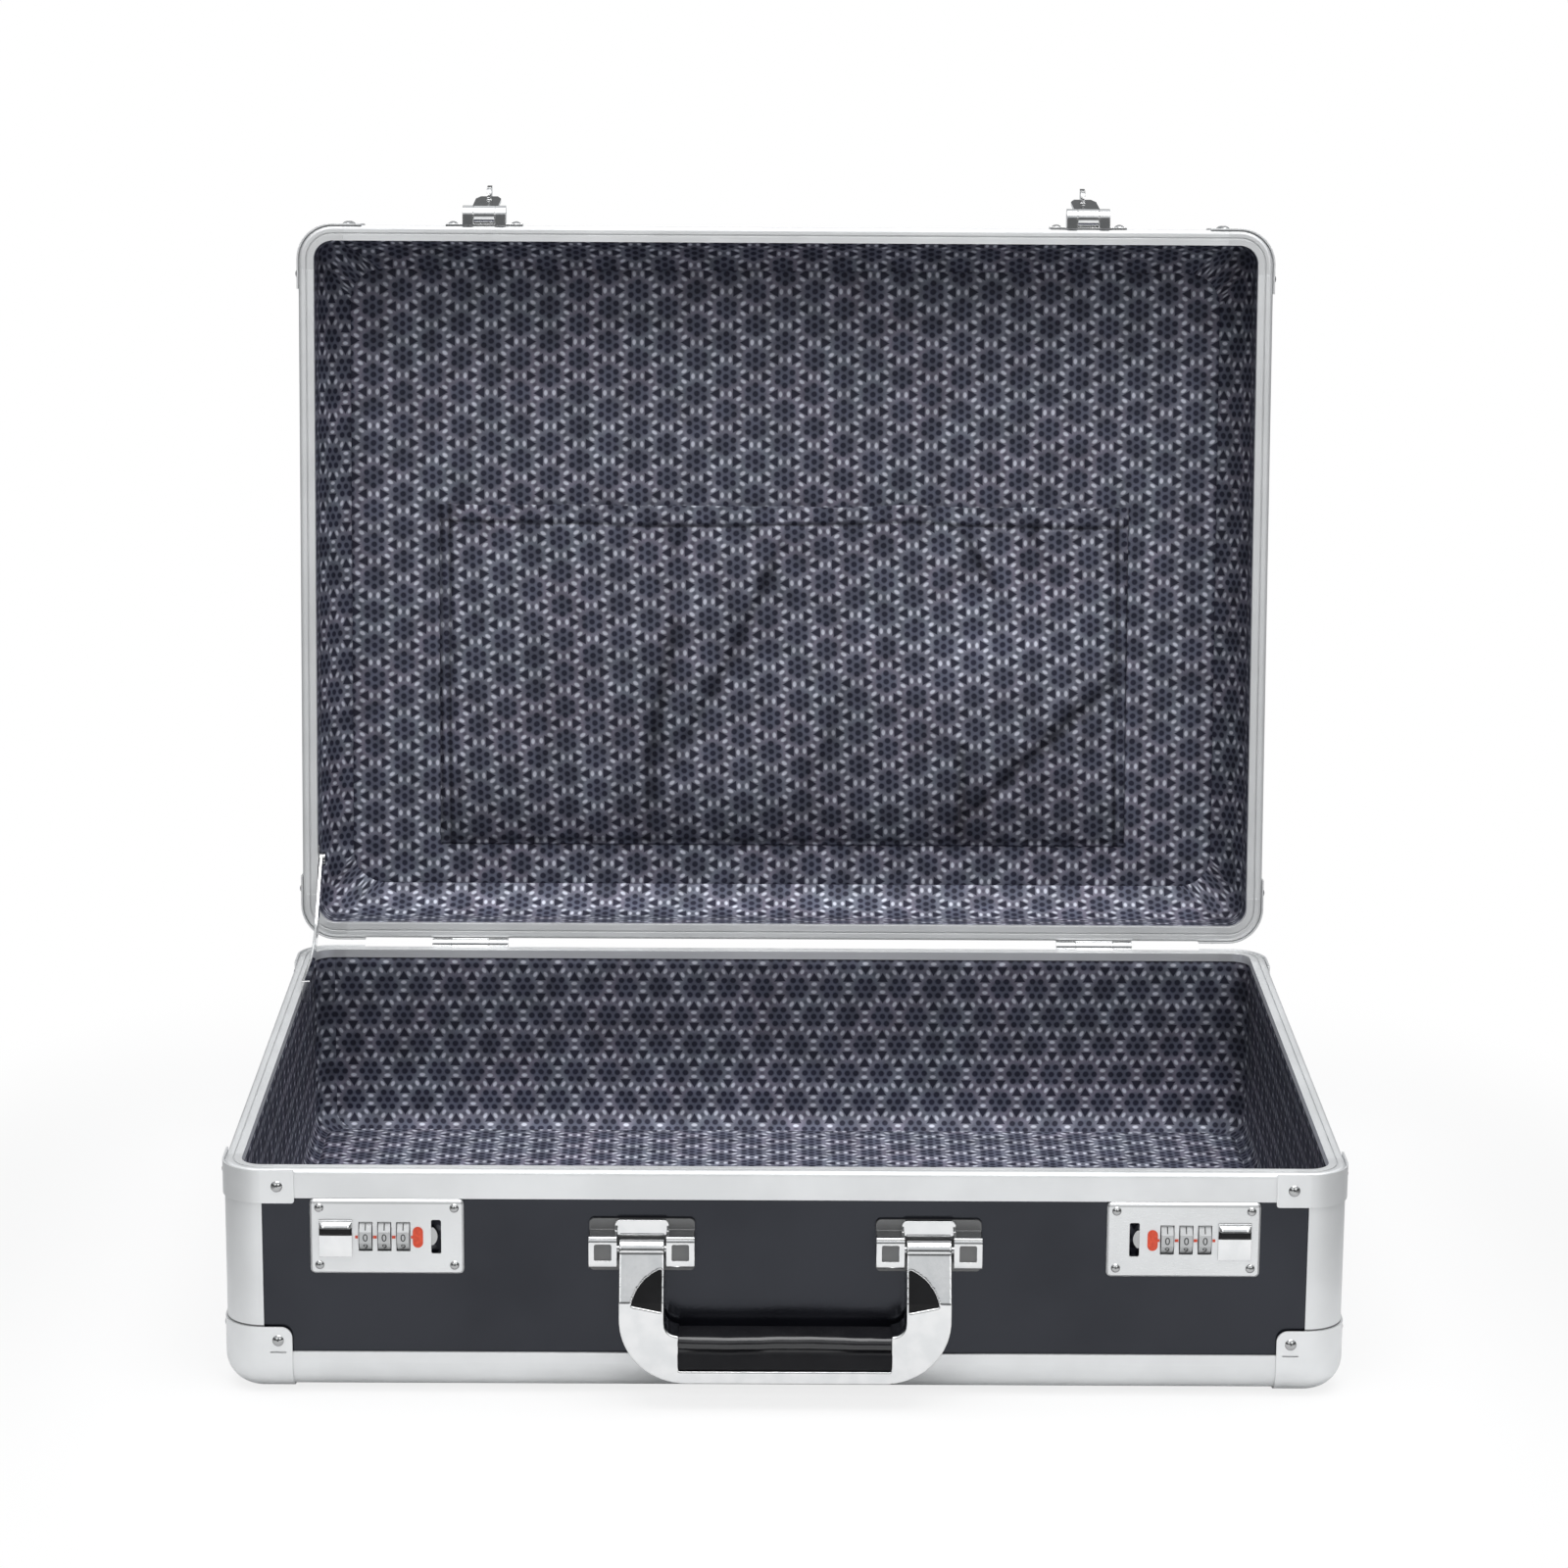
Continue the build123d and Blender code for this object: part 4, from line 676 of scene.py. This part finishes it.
cloth_band("base_wall_cloth", base_profile, base_frame, "base", "base_lining", 0.35, base_light)
# The base's floor cloth is painted 1.1 times lighter, as painted light
cloth_floor("base_floor_cloth", 4.6, 9.0, base_floor_depth, 0.9, base_frame, "base", True, 0.35, 1.1)
cloth_band("lid_wall_cloth", lid_profile, lid_frame, "lid", "lid_lining", 0.5, lid_light, across=True)
cloth_floor("lid_back_cloth", 12.6, 15.0, lid_back_depth, 0.5, lid_frame, "lid", True, 0.4, 1.0, 0.8)

# Lid pocket: a sewn sheet with creases, its mouth towards the lid's front
pocket_half = 166.0
pocket_low = 40.0
pocket_high = 205.0
hem_line = 196.0
side_seam = 5.0
creases = [
    ((-53.0, 146.0), (-57.5, 118.0), (-63.5, 84.0), (-65.4, 45.0), 2.6, 3.6),
    ((-2.0, 184.0), (-9.5, 165.0), (-27.0, 128.0), (-46.0, 92.0), 2.2, 3.4),
    ((86.0, 88.0), (86.6, 70.0), (86.8, 56.0), (87.0, 42.0), 2.4, 2.2),
    ((158.0, 118.0), (138.0, 100.0), (116.0, 80.0), (92.0, 56.0), 2.4, 3.6),
    ((86.0, 192.0), (91.0, 182.0), (97.0, 172.0), (106.0, 158.0), 2.0, 2.4),
    ((-48.0, 196.0), (-50.0, 188.0), (-52.0, 182.0), (-54.0, 172.0), 1.4, 2.4),
    ((122.0, 196.0), (120.0, 190.0), (122.0, 184.0), (126.0, 176.0), 1.4, 2.2),
    ((-112.0, 128.0), (-110.0, 104.0), (-114.0, 84.0), (-118.0, 66.0), 1.3, 6.0),
    ((30.0, 112.0), (24.0, 90.0), (14.0, 70.0), (8.0, 52.0), 1.3, 6.0),
]


def crease_depth(x, s):
    """How far the creases draw the cloth in, with the folds beside them, and how much painted shade lies in
    them.
    """
    total, dark = 0.0, 0.0
    for *line, depth, width in creases:
        nearest, side, end_share = 1e9, 0.0, 0.0
        for index, (one, other) in enumerate(zip(line, line[1:])):
            run_x, run_s = other[0] - one[0], other[1] - one[1]
            long = run_x * run_x + run_s * run_s
            t = max(0.0, min(1.0, ((x - one[0]) * run_x + (s - one[1]) * run_s) / long))
            away = hypot(x - one[0] - t * run_x, s - one[1] - t * run_s)
            if away < nearest:
                nearest = away
                side = 1.0 if (x - one[0]) * run_s - (s - one[1]) * run_x > 0 else -1.0
                end_share = (index + t) / 3
        strength = 1.05 * depth * sin(pi * min(1.0, max(0.0, 0.12 + 0.76 * end_share))) ** 0.6
        total += strength * exp(-((nearest / (0.75 * width)) ** 2))
        # Painted shade in and round each crease
        dark += 0.11 * strength * exp(-((nearest / (0.9 * width)) ** 2))
        dark += 0.075 * strength * exp(-((nearest / (3.4 * width)) ** 2))
        beside = exp(-(((nearest - 2.2 * width) / (1.6 * width)) ** 2))
        total -= 0.55 * strength * beside * (1.15 + 0.35 * side)
    return total, dark


def pocket_height(x, s):
    """The pocket's stand from the lid's lining at a place."""
    left, right, low = x + pocket_half, pocket_half - x, s - pocket_low
    puff = (1 - exp(-left / 13)) * (1 - exp(-right / 13)) * (1 - exp(-low / 11))
    share = (s - pocket_low) / (pocket_high - pocket_low)
    stand = 1.0 + 5.6 * puff * (1 - 0.45 * share**3)
    broad = noise.noise(Vector((x / 34, s / 46, 2.0)))
    fine = noise.noise(Vector((x / 13, s / 15, 8.0)))
    stand += puff * (1.1 * broad + 0.5 * fine)
    stand -= crease_depth(x, s)[0] * min(1.0, puff * 1.3)
    mouth = max(0.0, (s - hem_line + 22) / 31)
    stand += 0.9 * mouth * sin(x / 19.0 + 0.6) * puff
    hem = s - hem_line - 0.8 * sin(x / 31.0)
    stand += 0.5 * (1 if hem > 0 else 0) - 1.5 * exp(-((hem / 0.9) ** 2))
    for seam, deep in (
        (left - side_seam, 1.6), (left - 1.0, 0.6), (right - side_seam, 1.4), (low - 2.2, 0.8)
    ):
        stand -= deep * exp(-((seam / 0.9) ** 2))
    return max(0.75, stand)


def pocket_shade(x, s):
    """Painted light and shade on the pocket's cloth: painted shade in creases, along its sewn lines and
    near its bottom, a painted highlight on its upper right, and a random tone.
    """
    left, right, low = x + pocket_half, pocket_half - x, s - pocket_low
    # Painted shade in the creases
    light = 0.96 - min(0.6, crease_depth(x, s)[1])
    light *= 1.0 + 0.16 * noise.noise(Vector((x / 42, s / 30, 6.5)))
    # A painted highlight on the upper right of the pocket
    highlight_x, highlight_s = (x - 98.0) / 34.0, (s - 142.0) / 26.0
    light *= 1.0 + 0.42 * exp(-(highlight_x * highlight_x + highlight_s * highlight_s))
    # A patch of painted shade lower down, and painted shade near the pocket's bottom
    shade_patch_x, shade_patch_s = (x - 40.0) / 46.0, (s - 78.0) / 22.0
    light *= 1.0 - 0.1 * exp(-(shade_patch_x * shade_patch_x + shade_patch_s * shade_patch_s))
    light *= 1.0 - 0.2 * exp(-(((s - 52.0) / 14.0) ** 2))
    # Painted shade along the sewn lines and the hem
    hem = s - hem_line - 0.8 * sin(x / 31.0)
    for seam, deep in (
        (left - side_seam, 0.5), (left - 0.8, 0.45), (right - side_seam, 0.5), (low - 2.6, 0.35), (hem, 0.4)
    ):
        light *= 1.0 - deep * exp(-((seam / 0.8) ** 2))
    return light


def lid_pocket():
    step_x, step_s = 1.0, 1.0
    columns = round(2 * pocket_half / step_x)
    rows = round((pocket_high - pocket_low) / step_s)
    points, uvs, shades, faces = [], [], [], []
    skew = radians(1.8)
    for row in range(rows + 1):
        for column in range(columns + 1):
            x = -pocket_half + column * step_x
            s = pocket_low + row * step_s
            edge = min(x + pocket_half, pocket_half - x, s - pocket_low, 1.2) / 1.2
            top = 1.2 * noise.noise(Vector((x / 40, 0.0, 4.0))) * max(0.0, (s - 180) / 25)
            depth = lid_back_depth - 0.5 - pocket_height(x, s) * (0.55 + 0.45 * sqrt(max(edge, 0.0)))
            points.append(lid_frame @ (Vector((x, half_depth - s - top, depth)) * mm))
            along = -s * cos(skew) + x * sin(skew) + 5.0
            across = x * cos(skew) + s * sin(skew) + 3.0
            uvs.append((along * mm, across * mm))
            shades.append(pocket_shade(x, s))
    for row in range(rows):
        for column in range(columns):
            corner = row * (columns + 1) + column
            faces.append((corner, corner + columns + 1, corner + columns + 2, corner + 1))
    made = mesh_object("lid_pocket_cloth", points, faces, cloth, uvs, shades)
    thicken(made, pocket_sheet * mm, 1)
    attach(made, "lid")
    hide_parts("lid_pocket")


lid_pocket()

# The cast handle frame, whose edges are all gently rounded
frame_voxel = 0.42
frame_smoothing = 4
cast_frame = dressed_copy("handle_frame", "handle")
skin = cast_frame.modifiers.new("skin", "REMESH")
skin.mode = "VOXEL"
skin.voxel_size = frame_voxel * mm
apply_modifiers(cast_frame)
smooth = cast_frame.modifiers.new("smooth", "SMOOTH")
smooth.factor = 0.5
smooth.iterations = frame_smoothing
apply_modifiers(cast_frame)
for polygon in cast_frame.data.polygons:
    polygon.use_smooth = True


def grip_profile(x):
    """The grip's outline across its length: depth from the panel's face and height, in millimetres."""
    sway = 0.8 * sin(x / 9.5 + 0.8) + 0.8 * noise.noise(Vector((x / 11, 0.0, 1.0)))
    outline = []

    def arc(middle, radius, first, last, steps):
        for step in range(steps + 1):
            angle = radians(first + (last - first) * step / steps)
            outline.append((middle[0] + radius * cos(angle), middle[1] + radius * sin(angle)))

    arc((16.1 + 0.3 * sway, 28.3 + sway * 0.5), 3.2, -52, 90, 22)
    arc((7.2, 29.4), 2.6, 90, 180, 8)
    arc((7.2, 19.6), 2.6, 180, 270, 8)
    arc((17.2, 19.2), 2.2, 270, 360, 8)
    outline.append((19.5, 22.0))
    outline.append((19.45, 24.0))
    outline.append((19.1, 24.8 + 0.3 * sway))
    outline.append((18.5, 25.2 + 0.3 * sway))
    return outline


def dressed_grip():
    """The black grip between the handle's arms, with its roll and groove."""
    half_length, steps = 43.15, 120
    points, faces = [], []
    for step in range(steps + 1):
        x = -half_length + 2 * half_length * step / steps
        for depth, height in grip_profile(x):
            points.append(Vector((x, panel_face_y - depth, height)) * mm)
    count = len(grip_profile(0.0))
    for step in range(steps):
        for index in range(count):
            one, other = step * count + index, step * count + (index + 1) % count
            faces.append((one, other, other + count, one + count))
    faces.append(tuple(range(count)))
    faces.append(tuple(reversed(range(steps * count, (steps + 1) * count))))
    made = mesh_object("handle_grip_dressed", points, faces, black)
    made.data.set_sharp_from_angle(angle=radians(60))
    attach(made, "handle")
    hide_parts("handle_grip")


dressed_grip()

# Opening buttons: a thin plate with a rounded thumb bar, whose underside carries a black band of painted
# shade
button_middle = 182.55
button_half = 6.7
lock_level = 68.0
plate_front_y = panel_face_y - 2.0


def button_profile(share):
    """Height and stand of the button's outline; share is 1 at the middle and 0 at the ends."""
    outline = [(-8.6, 0.2), (-8.6, 0.7), (-8.3, 0.95), (-4.0, 1.0), (0.2, 1.0)]
    for step in range(17):
        angle = radians(190 - 200 * step / 16)
        stand = 1.0 + max(0.0, 0.1 + 2.35 * sin(angle)) * share
        outline.append((3.6 + 2.9 * cos(angle), stand))
    outline += [(6.9, 0.95), (7.2, 0.7), (7.2, 0.2)]
    return outline


def dressed_button(side, sign):
    ends = 2.0
    steps = 40
    points, faces = [], []
    for step in range(steps + 1):
        run = -button_half + 2 * button_half * step / steps
        inner = min(1.0, (button_half - abs(run)) / ends)
        share = sqrt(max(0.0, 1 - (1 - inner) ** 2))
        for height, stand in button_profile(share):
            place = Vector((sign * button_middle + run, plate_front_y - stand, lock_level + height))
            points.append(place * mm)
    count = len(button_profile(1.0))
    for step in range(steps):
        for index in range(count):
            one, other = step * count + index, step * count + (index + 1) % count
            faces.append((one, one + count, other + count, other))
    faces.append(tuple(reversed(range(count))))
    faces.append(tuple(range(steps * count, (steps + 1) * count)))
    made = mesh_object(f"slide_button_{side}_dressed", points, faces, metal_button)
    # The thumb bar's underside takes the black finish as painted shade
    made.data.materials.append(black_gloss)
    for polygon in made.data.polygons[:-2]:
        if 5 <= polygon.index % count <= 13:
            polygon.material_index = 1
    made.data.set_sharp_from_angle(angle=radians(50))
    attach(made, f"slide_{side}")
    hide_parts(f"slide_button_{side}")


for side, sign in (("left", -1), ("right", 1)):
    dressed_button(side, sign)

# Return springs in the lock cases, which shorten as the latch slides move; here each is only copied to a
# mesh of its own
for side, sign in (("left", -1), ("right", 1)):
    spring = dressed_copy(f"button_spring_{side}", "base")
    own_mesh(spring)

# Numbers on the dials, one on each flat
dial_radius = 7.5
dial_flats = 10
dial_axis = Vector((0, -200.2, lock_level))
dial_centres = (155.15, 162.8, 170.45)
digit_height = 3.3
face_out = dial_radius * cos(pi / dial_flats)
for side, sign in (("left", -1), ("right", 1)):
    for number, centre in enumerate(dial_centres, 1):
        ring_mesh = bmesh.new()
        for digit in range(dial_flats):
            curve = bpy.data.curves.new("digit", "FONT")
            curve.body = str(digit)
            curve.size = digit_height * 1.35 * mm
            curve.align_x = "CENTER"
            curve.align_y = "CENTER"
            curve.extrude = 0.05 * mm
            curve.offset = 0.02 * mm
            text = bpy.data.objects.new("digit", curve)
            bpy.context.scene.collection.objects.link(text)
            bpy.context.view_layer.update()
            depsgraph = bpy.context.evaluated_depsgraph_get()
            mesh = bpy.data.meshes.new_from_object(text.evaluated_get(depsgraph))
            low = min(v.co.y for v in mesh.vertices)
            high = max(v.co.y for v in mesh.vertices)
            left = min(v.co.x for v in mesh.vertices)
            right = max(v.co.x for v in mesh.vertices)
            mesh.transform(Matrix.Translation((-(left + right) / 2, -(low + high) / 2, 0)))
            # Upright digit that faces the front, then turned round the wheel to its own flat
            facing = Matrix.Translation((0, -face_out * mm, 0)) @ Matrix.Rotation(pi / 2, 4, "X")
            turned = Matrix.Rotation(-2 * pi * digit / dial_flats, 4, "X") @ facing
            place = Matrix.Translation(Vector((sign * centre, dial_axis.y, dial_axis.z)) * mm) @ turned
            mesh.transform(place)
            ring_mesh.from_mesh(mesh)
            bpy.data.objects.remove(text)
            bpy.data.curves.remove(curve)
            bpy.data.meshes.remove(mesh)
        digits = bpy.data.meshes.new(f"dial_{number}_{side}_numbers")
        ring_mesh.to_mesh(digits)
        ring_mesh.free()
        digits.materials.clear()
        digits.materials.append(digit_ink)
        made = bpy.data.objects.new(f"dial_{number}_{side}_numbers", digits)
        bpy.context.scene.collection.objects.link(made)
        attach(made, f"dial_{number}_{side}")

# Floor, light and camera
room_low = 0.16
room_high = 0.85
dim_below = 0.34
bright_above = 0.47
floor_reach = 6.0
floor_level = -0.0002
floor_middle = 0.78
floor_sides = 0.26
contact_near = 0.3
contact_far = 0.5
scene = bpy.context.scene
floor_mesh = bpy.data.meshes.new("studio_floor")
floor_corners = ((-1, -1), (1, -1), (1, 1), (-1, 1))
floor_mesh.from_pydata(
    [(x * floor_reach, y * floor_reach, floor_level) for x, y in floor_corners], [], [(0, 1, 2, 3)]
)
floor_object = bpy.data.objects.new("studio_floor", floor_mesh)
scene.collection.objects.link(floor_object)
g = Graph("studio_floor")
path = g.node("LightPath")
paper = g.node("BsdfDiffuse")
split = g.node("SeparateXYZ")
g.feed(split.inputs[0], g.place())
beside = g.math("ABSOLUTE", split.outputs[0])
g.feed(paper.inputs["Color"], g.mix(g.ramp(beside, 0.22, 0.46), grey(floor_middle), grey(floor_sides)))
glow = g.node("Emission")
glow.inputs["Color"].default_value = grey(1.0)
away = g.node("VectorMath", operation="LENGTH")
g.feed(away.inputs[0], g.place())
far = g.ramp(away.outputs["Value"], contact_near, contact_far, 0.8, 1.0)
seen = g.math("MULTIPLY", path.outputs["Is Camera Ray"], far)
blend = g.node("MixShader")
g.feed(blend.inputs[0], seen)
g.tree.links.new(paper.outputs[0], blend.inputs[1])
g.tree.links.new(glow.outputs[0], blend.inputs[2])
g.tree.links.new(blend.outputs[0], g.output.inputs[0])
g.tree.nodes.remove(g.shader)
floor_mesh.materials.append(g.material)

# A room that is bright above, dim round the horizon, and white to the camera
world = bpy.data.worlds.new("studio")
scene.world = world
world.use_nodes = True
tree = world.node_tree
tree.nodes.clear()
output = tree.nodes.new("ShaderNodeOutputWorld")
direction = tree.nodes.new("ShaderNodeTexCoord")
parts = tree.nodes.new("ShaderNodeSeparateXYZ")
tree.links.new(direction.outputs["Generated"], parts.inputs[0])
height = tree.nodes.new("ShaderNodeMapRange")
height.interpolation_type = "SMOOTHSTEP"
for key, value in (
    ("From Min", dim_below), ("From Max", bright_above), ("To Min", room_low), ("To Max", room_high)
):
    height.inputs[key].default_value = value
tree.links.new(parts.outputs[2], height.inputs["Value"])
room = tree.nodes.new("ShaderNodeBackground")
room.inputs["Color"].default_value = (0.96, 0.98, 1.0, 1)
tree.links.new(height.outputs[0], room.inputs["Strength"])
white = tree.nodes.new("ShaderNodeBackground")
white.inputs["Color"].default_value = (1, 1, 1, 1)
white.inputs["Strength"].default_value = 1.0
path = tree.nodes.new("ShaderNodeLightPath")
pick = tree.nodes.new("ShaderNodeMixShader")
tree.links.new(path.outputs["Is Camera Ray"], pick.inputs[0])
tree.links.new(room.outputs[0], pick.inputs[1])
tree.links.new(white.outputs[0], pick.inputs[2])
tree.links.new(pick.outputs[0], output.inputs["Surface"])


def softbox(name, place, target, width, height, power):
    """A rectangular studio lamp that points at a target."""
    lamp = bpy.data.lights.new(name, "AREA")
    lamp.shape = "RECTANGLE"
    lamp.size = width
    lamp.size_y = height
    lamp.energy = power
    holder = bpy.data.objects.new(name, lamp)
    scene.collection.objects.link(holder)
    holder.location = place
    holder.rotation_euler = (Vector(target) - Vector(place)).to_track_quat("-Z", "Y").to_euler()


softbox("overhead", (0.1, -0.4, 2.3), (0, 0.0, 0.1), 2.2, 1.8, 45)
softbox("front_left", (-1.2, -2.5, 1.5), (0, 0, 0.2), 1.2, 1.6, 7)
softbox("front_right", (1.3, -2.5, 1.5), (0, 0, 0.2), 1.2, 1.6, 9)

camera_data = bpy.data.cameras.new("camera")
camera = bpy.data.objects.new("camera", camera_data)
scene.collection.objects.link(camera)
scene.camera = camera
frame_pixels = 1600
focal_pixels = 4607.0
camera_place = Vector((-12.4, -1909.0 - origin_shift, 677.0))
camera_data.sensor_fit = "HORIZONTAL"
camera_data.sensor_width = 36.0
camera_data.lens = focal_pixels / frame_pixels * camera_data.sensor_width
camera_data.clip_start = 0.05
camera_data.clip_end = 50
pitch, yaw, roll = radians(13.55), radians(0.35), radians(0.37)
ahead = Vector((sin(yaw) * cos(pitch), cos(yaw) * cos(pitch), -sin(pitch)))
right = Vector((cos(yaw), -sin(yaw), 0))
up = right.cross(ahead)
rolled_right = cos(roll) * right + sin(roll) * up
rolled_up = -sin(roll) * right + cos(roll) * up
view_matrix = Matrix((rolled_right, rolled_up, -ahead)).transposed().to_4x4()
view_matrix.translation = camera_place * mm
camera.matrix_world = view_matrix

scene.view_settings.view_transform = "Standard"

bpy.context.view_layer.update()
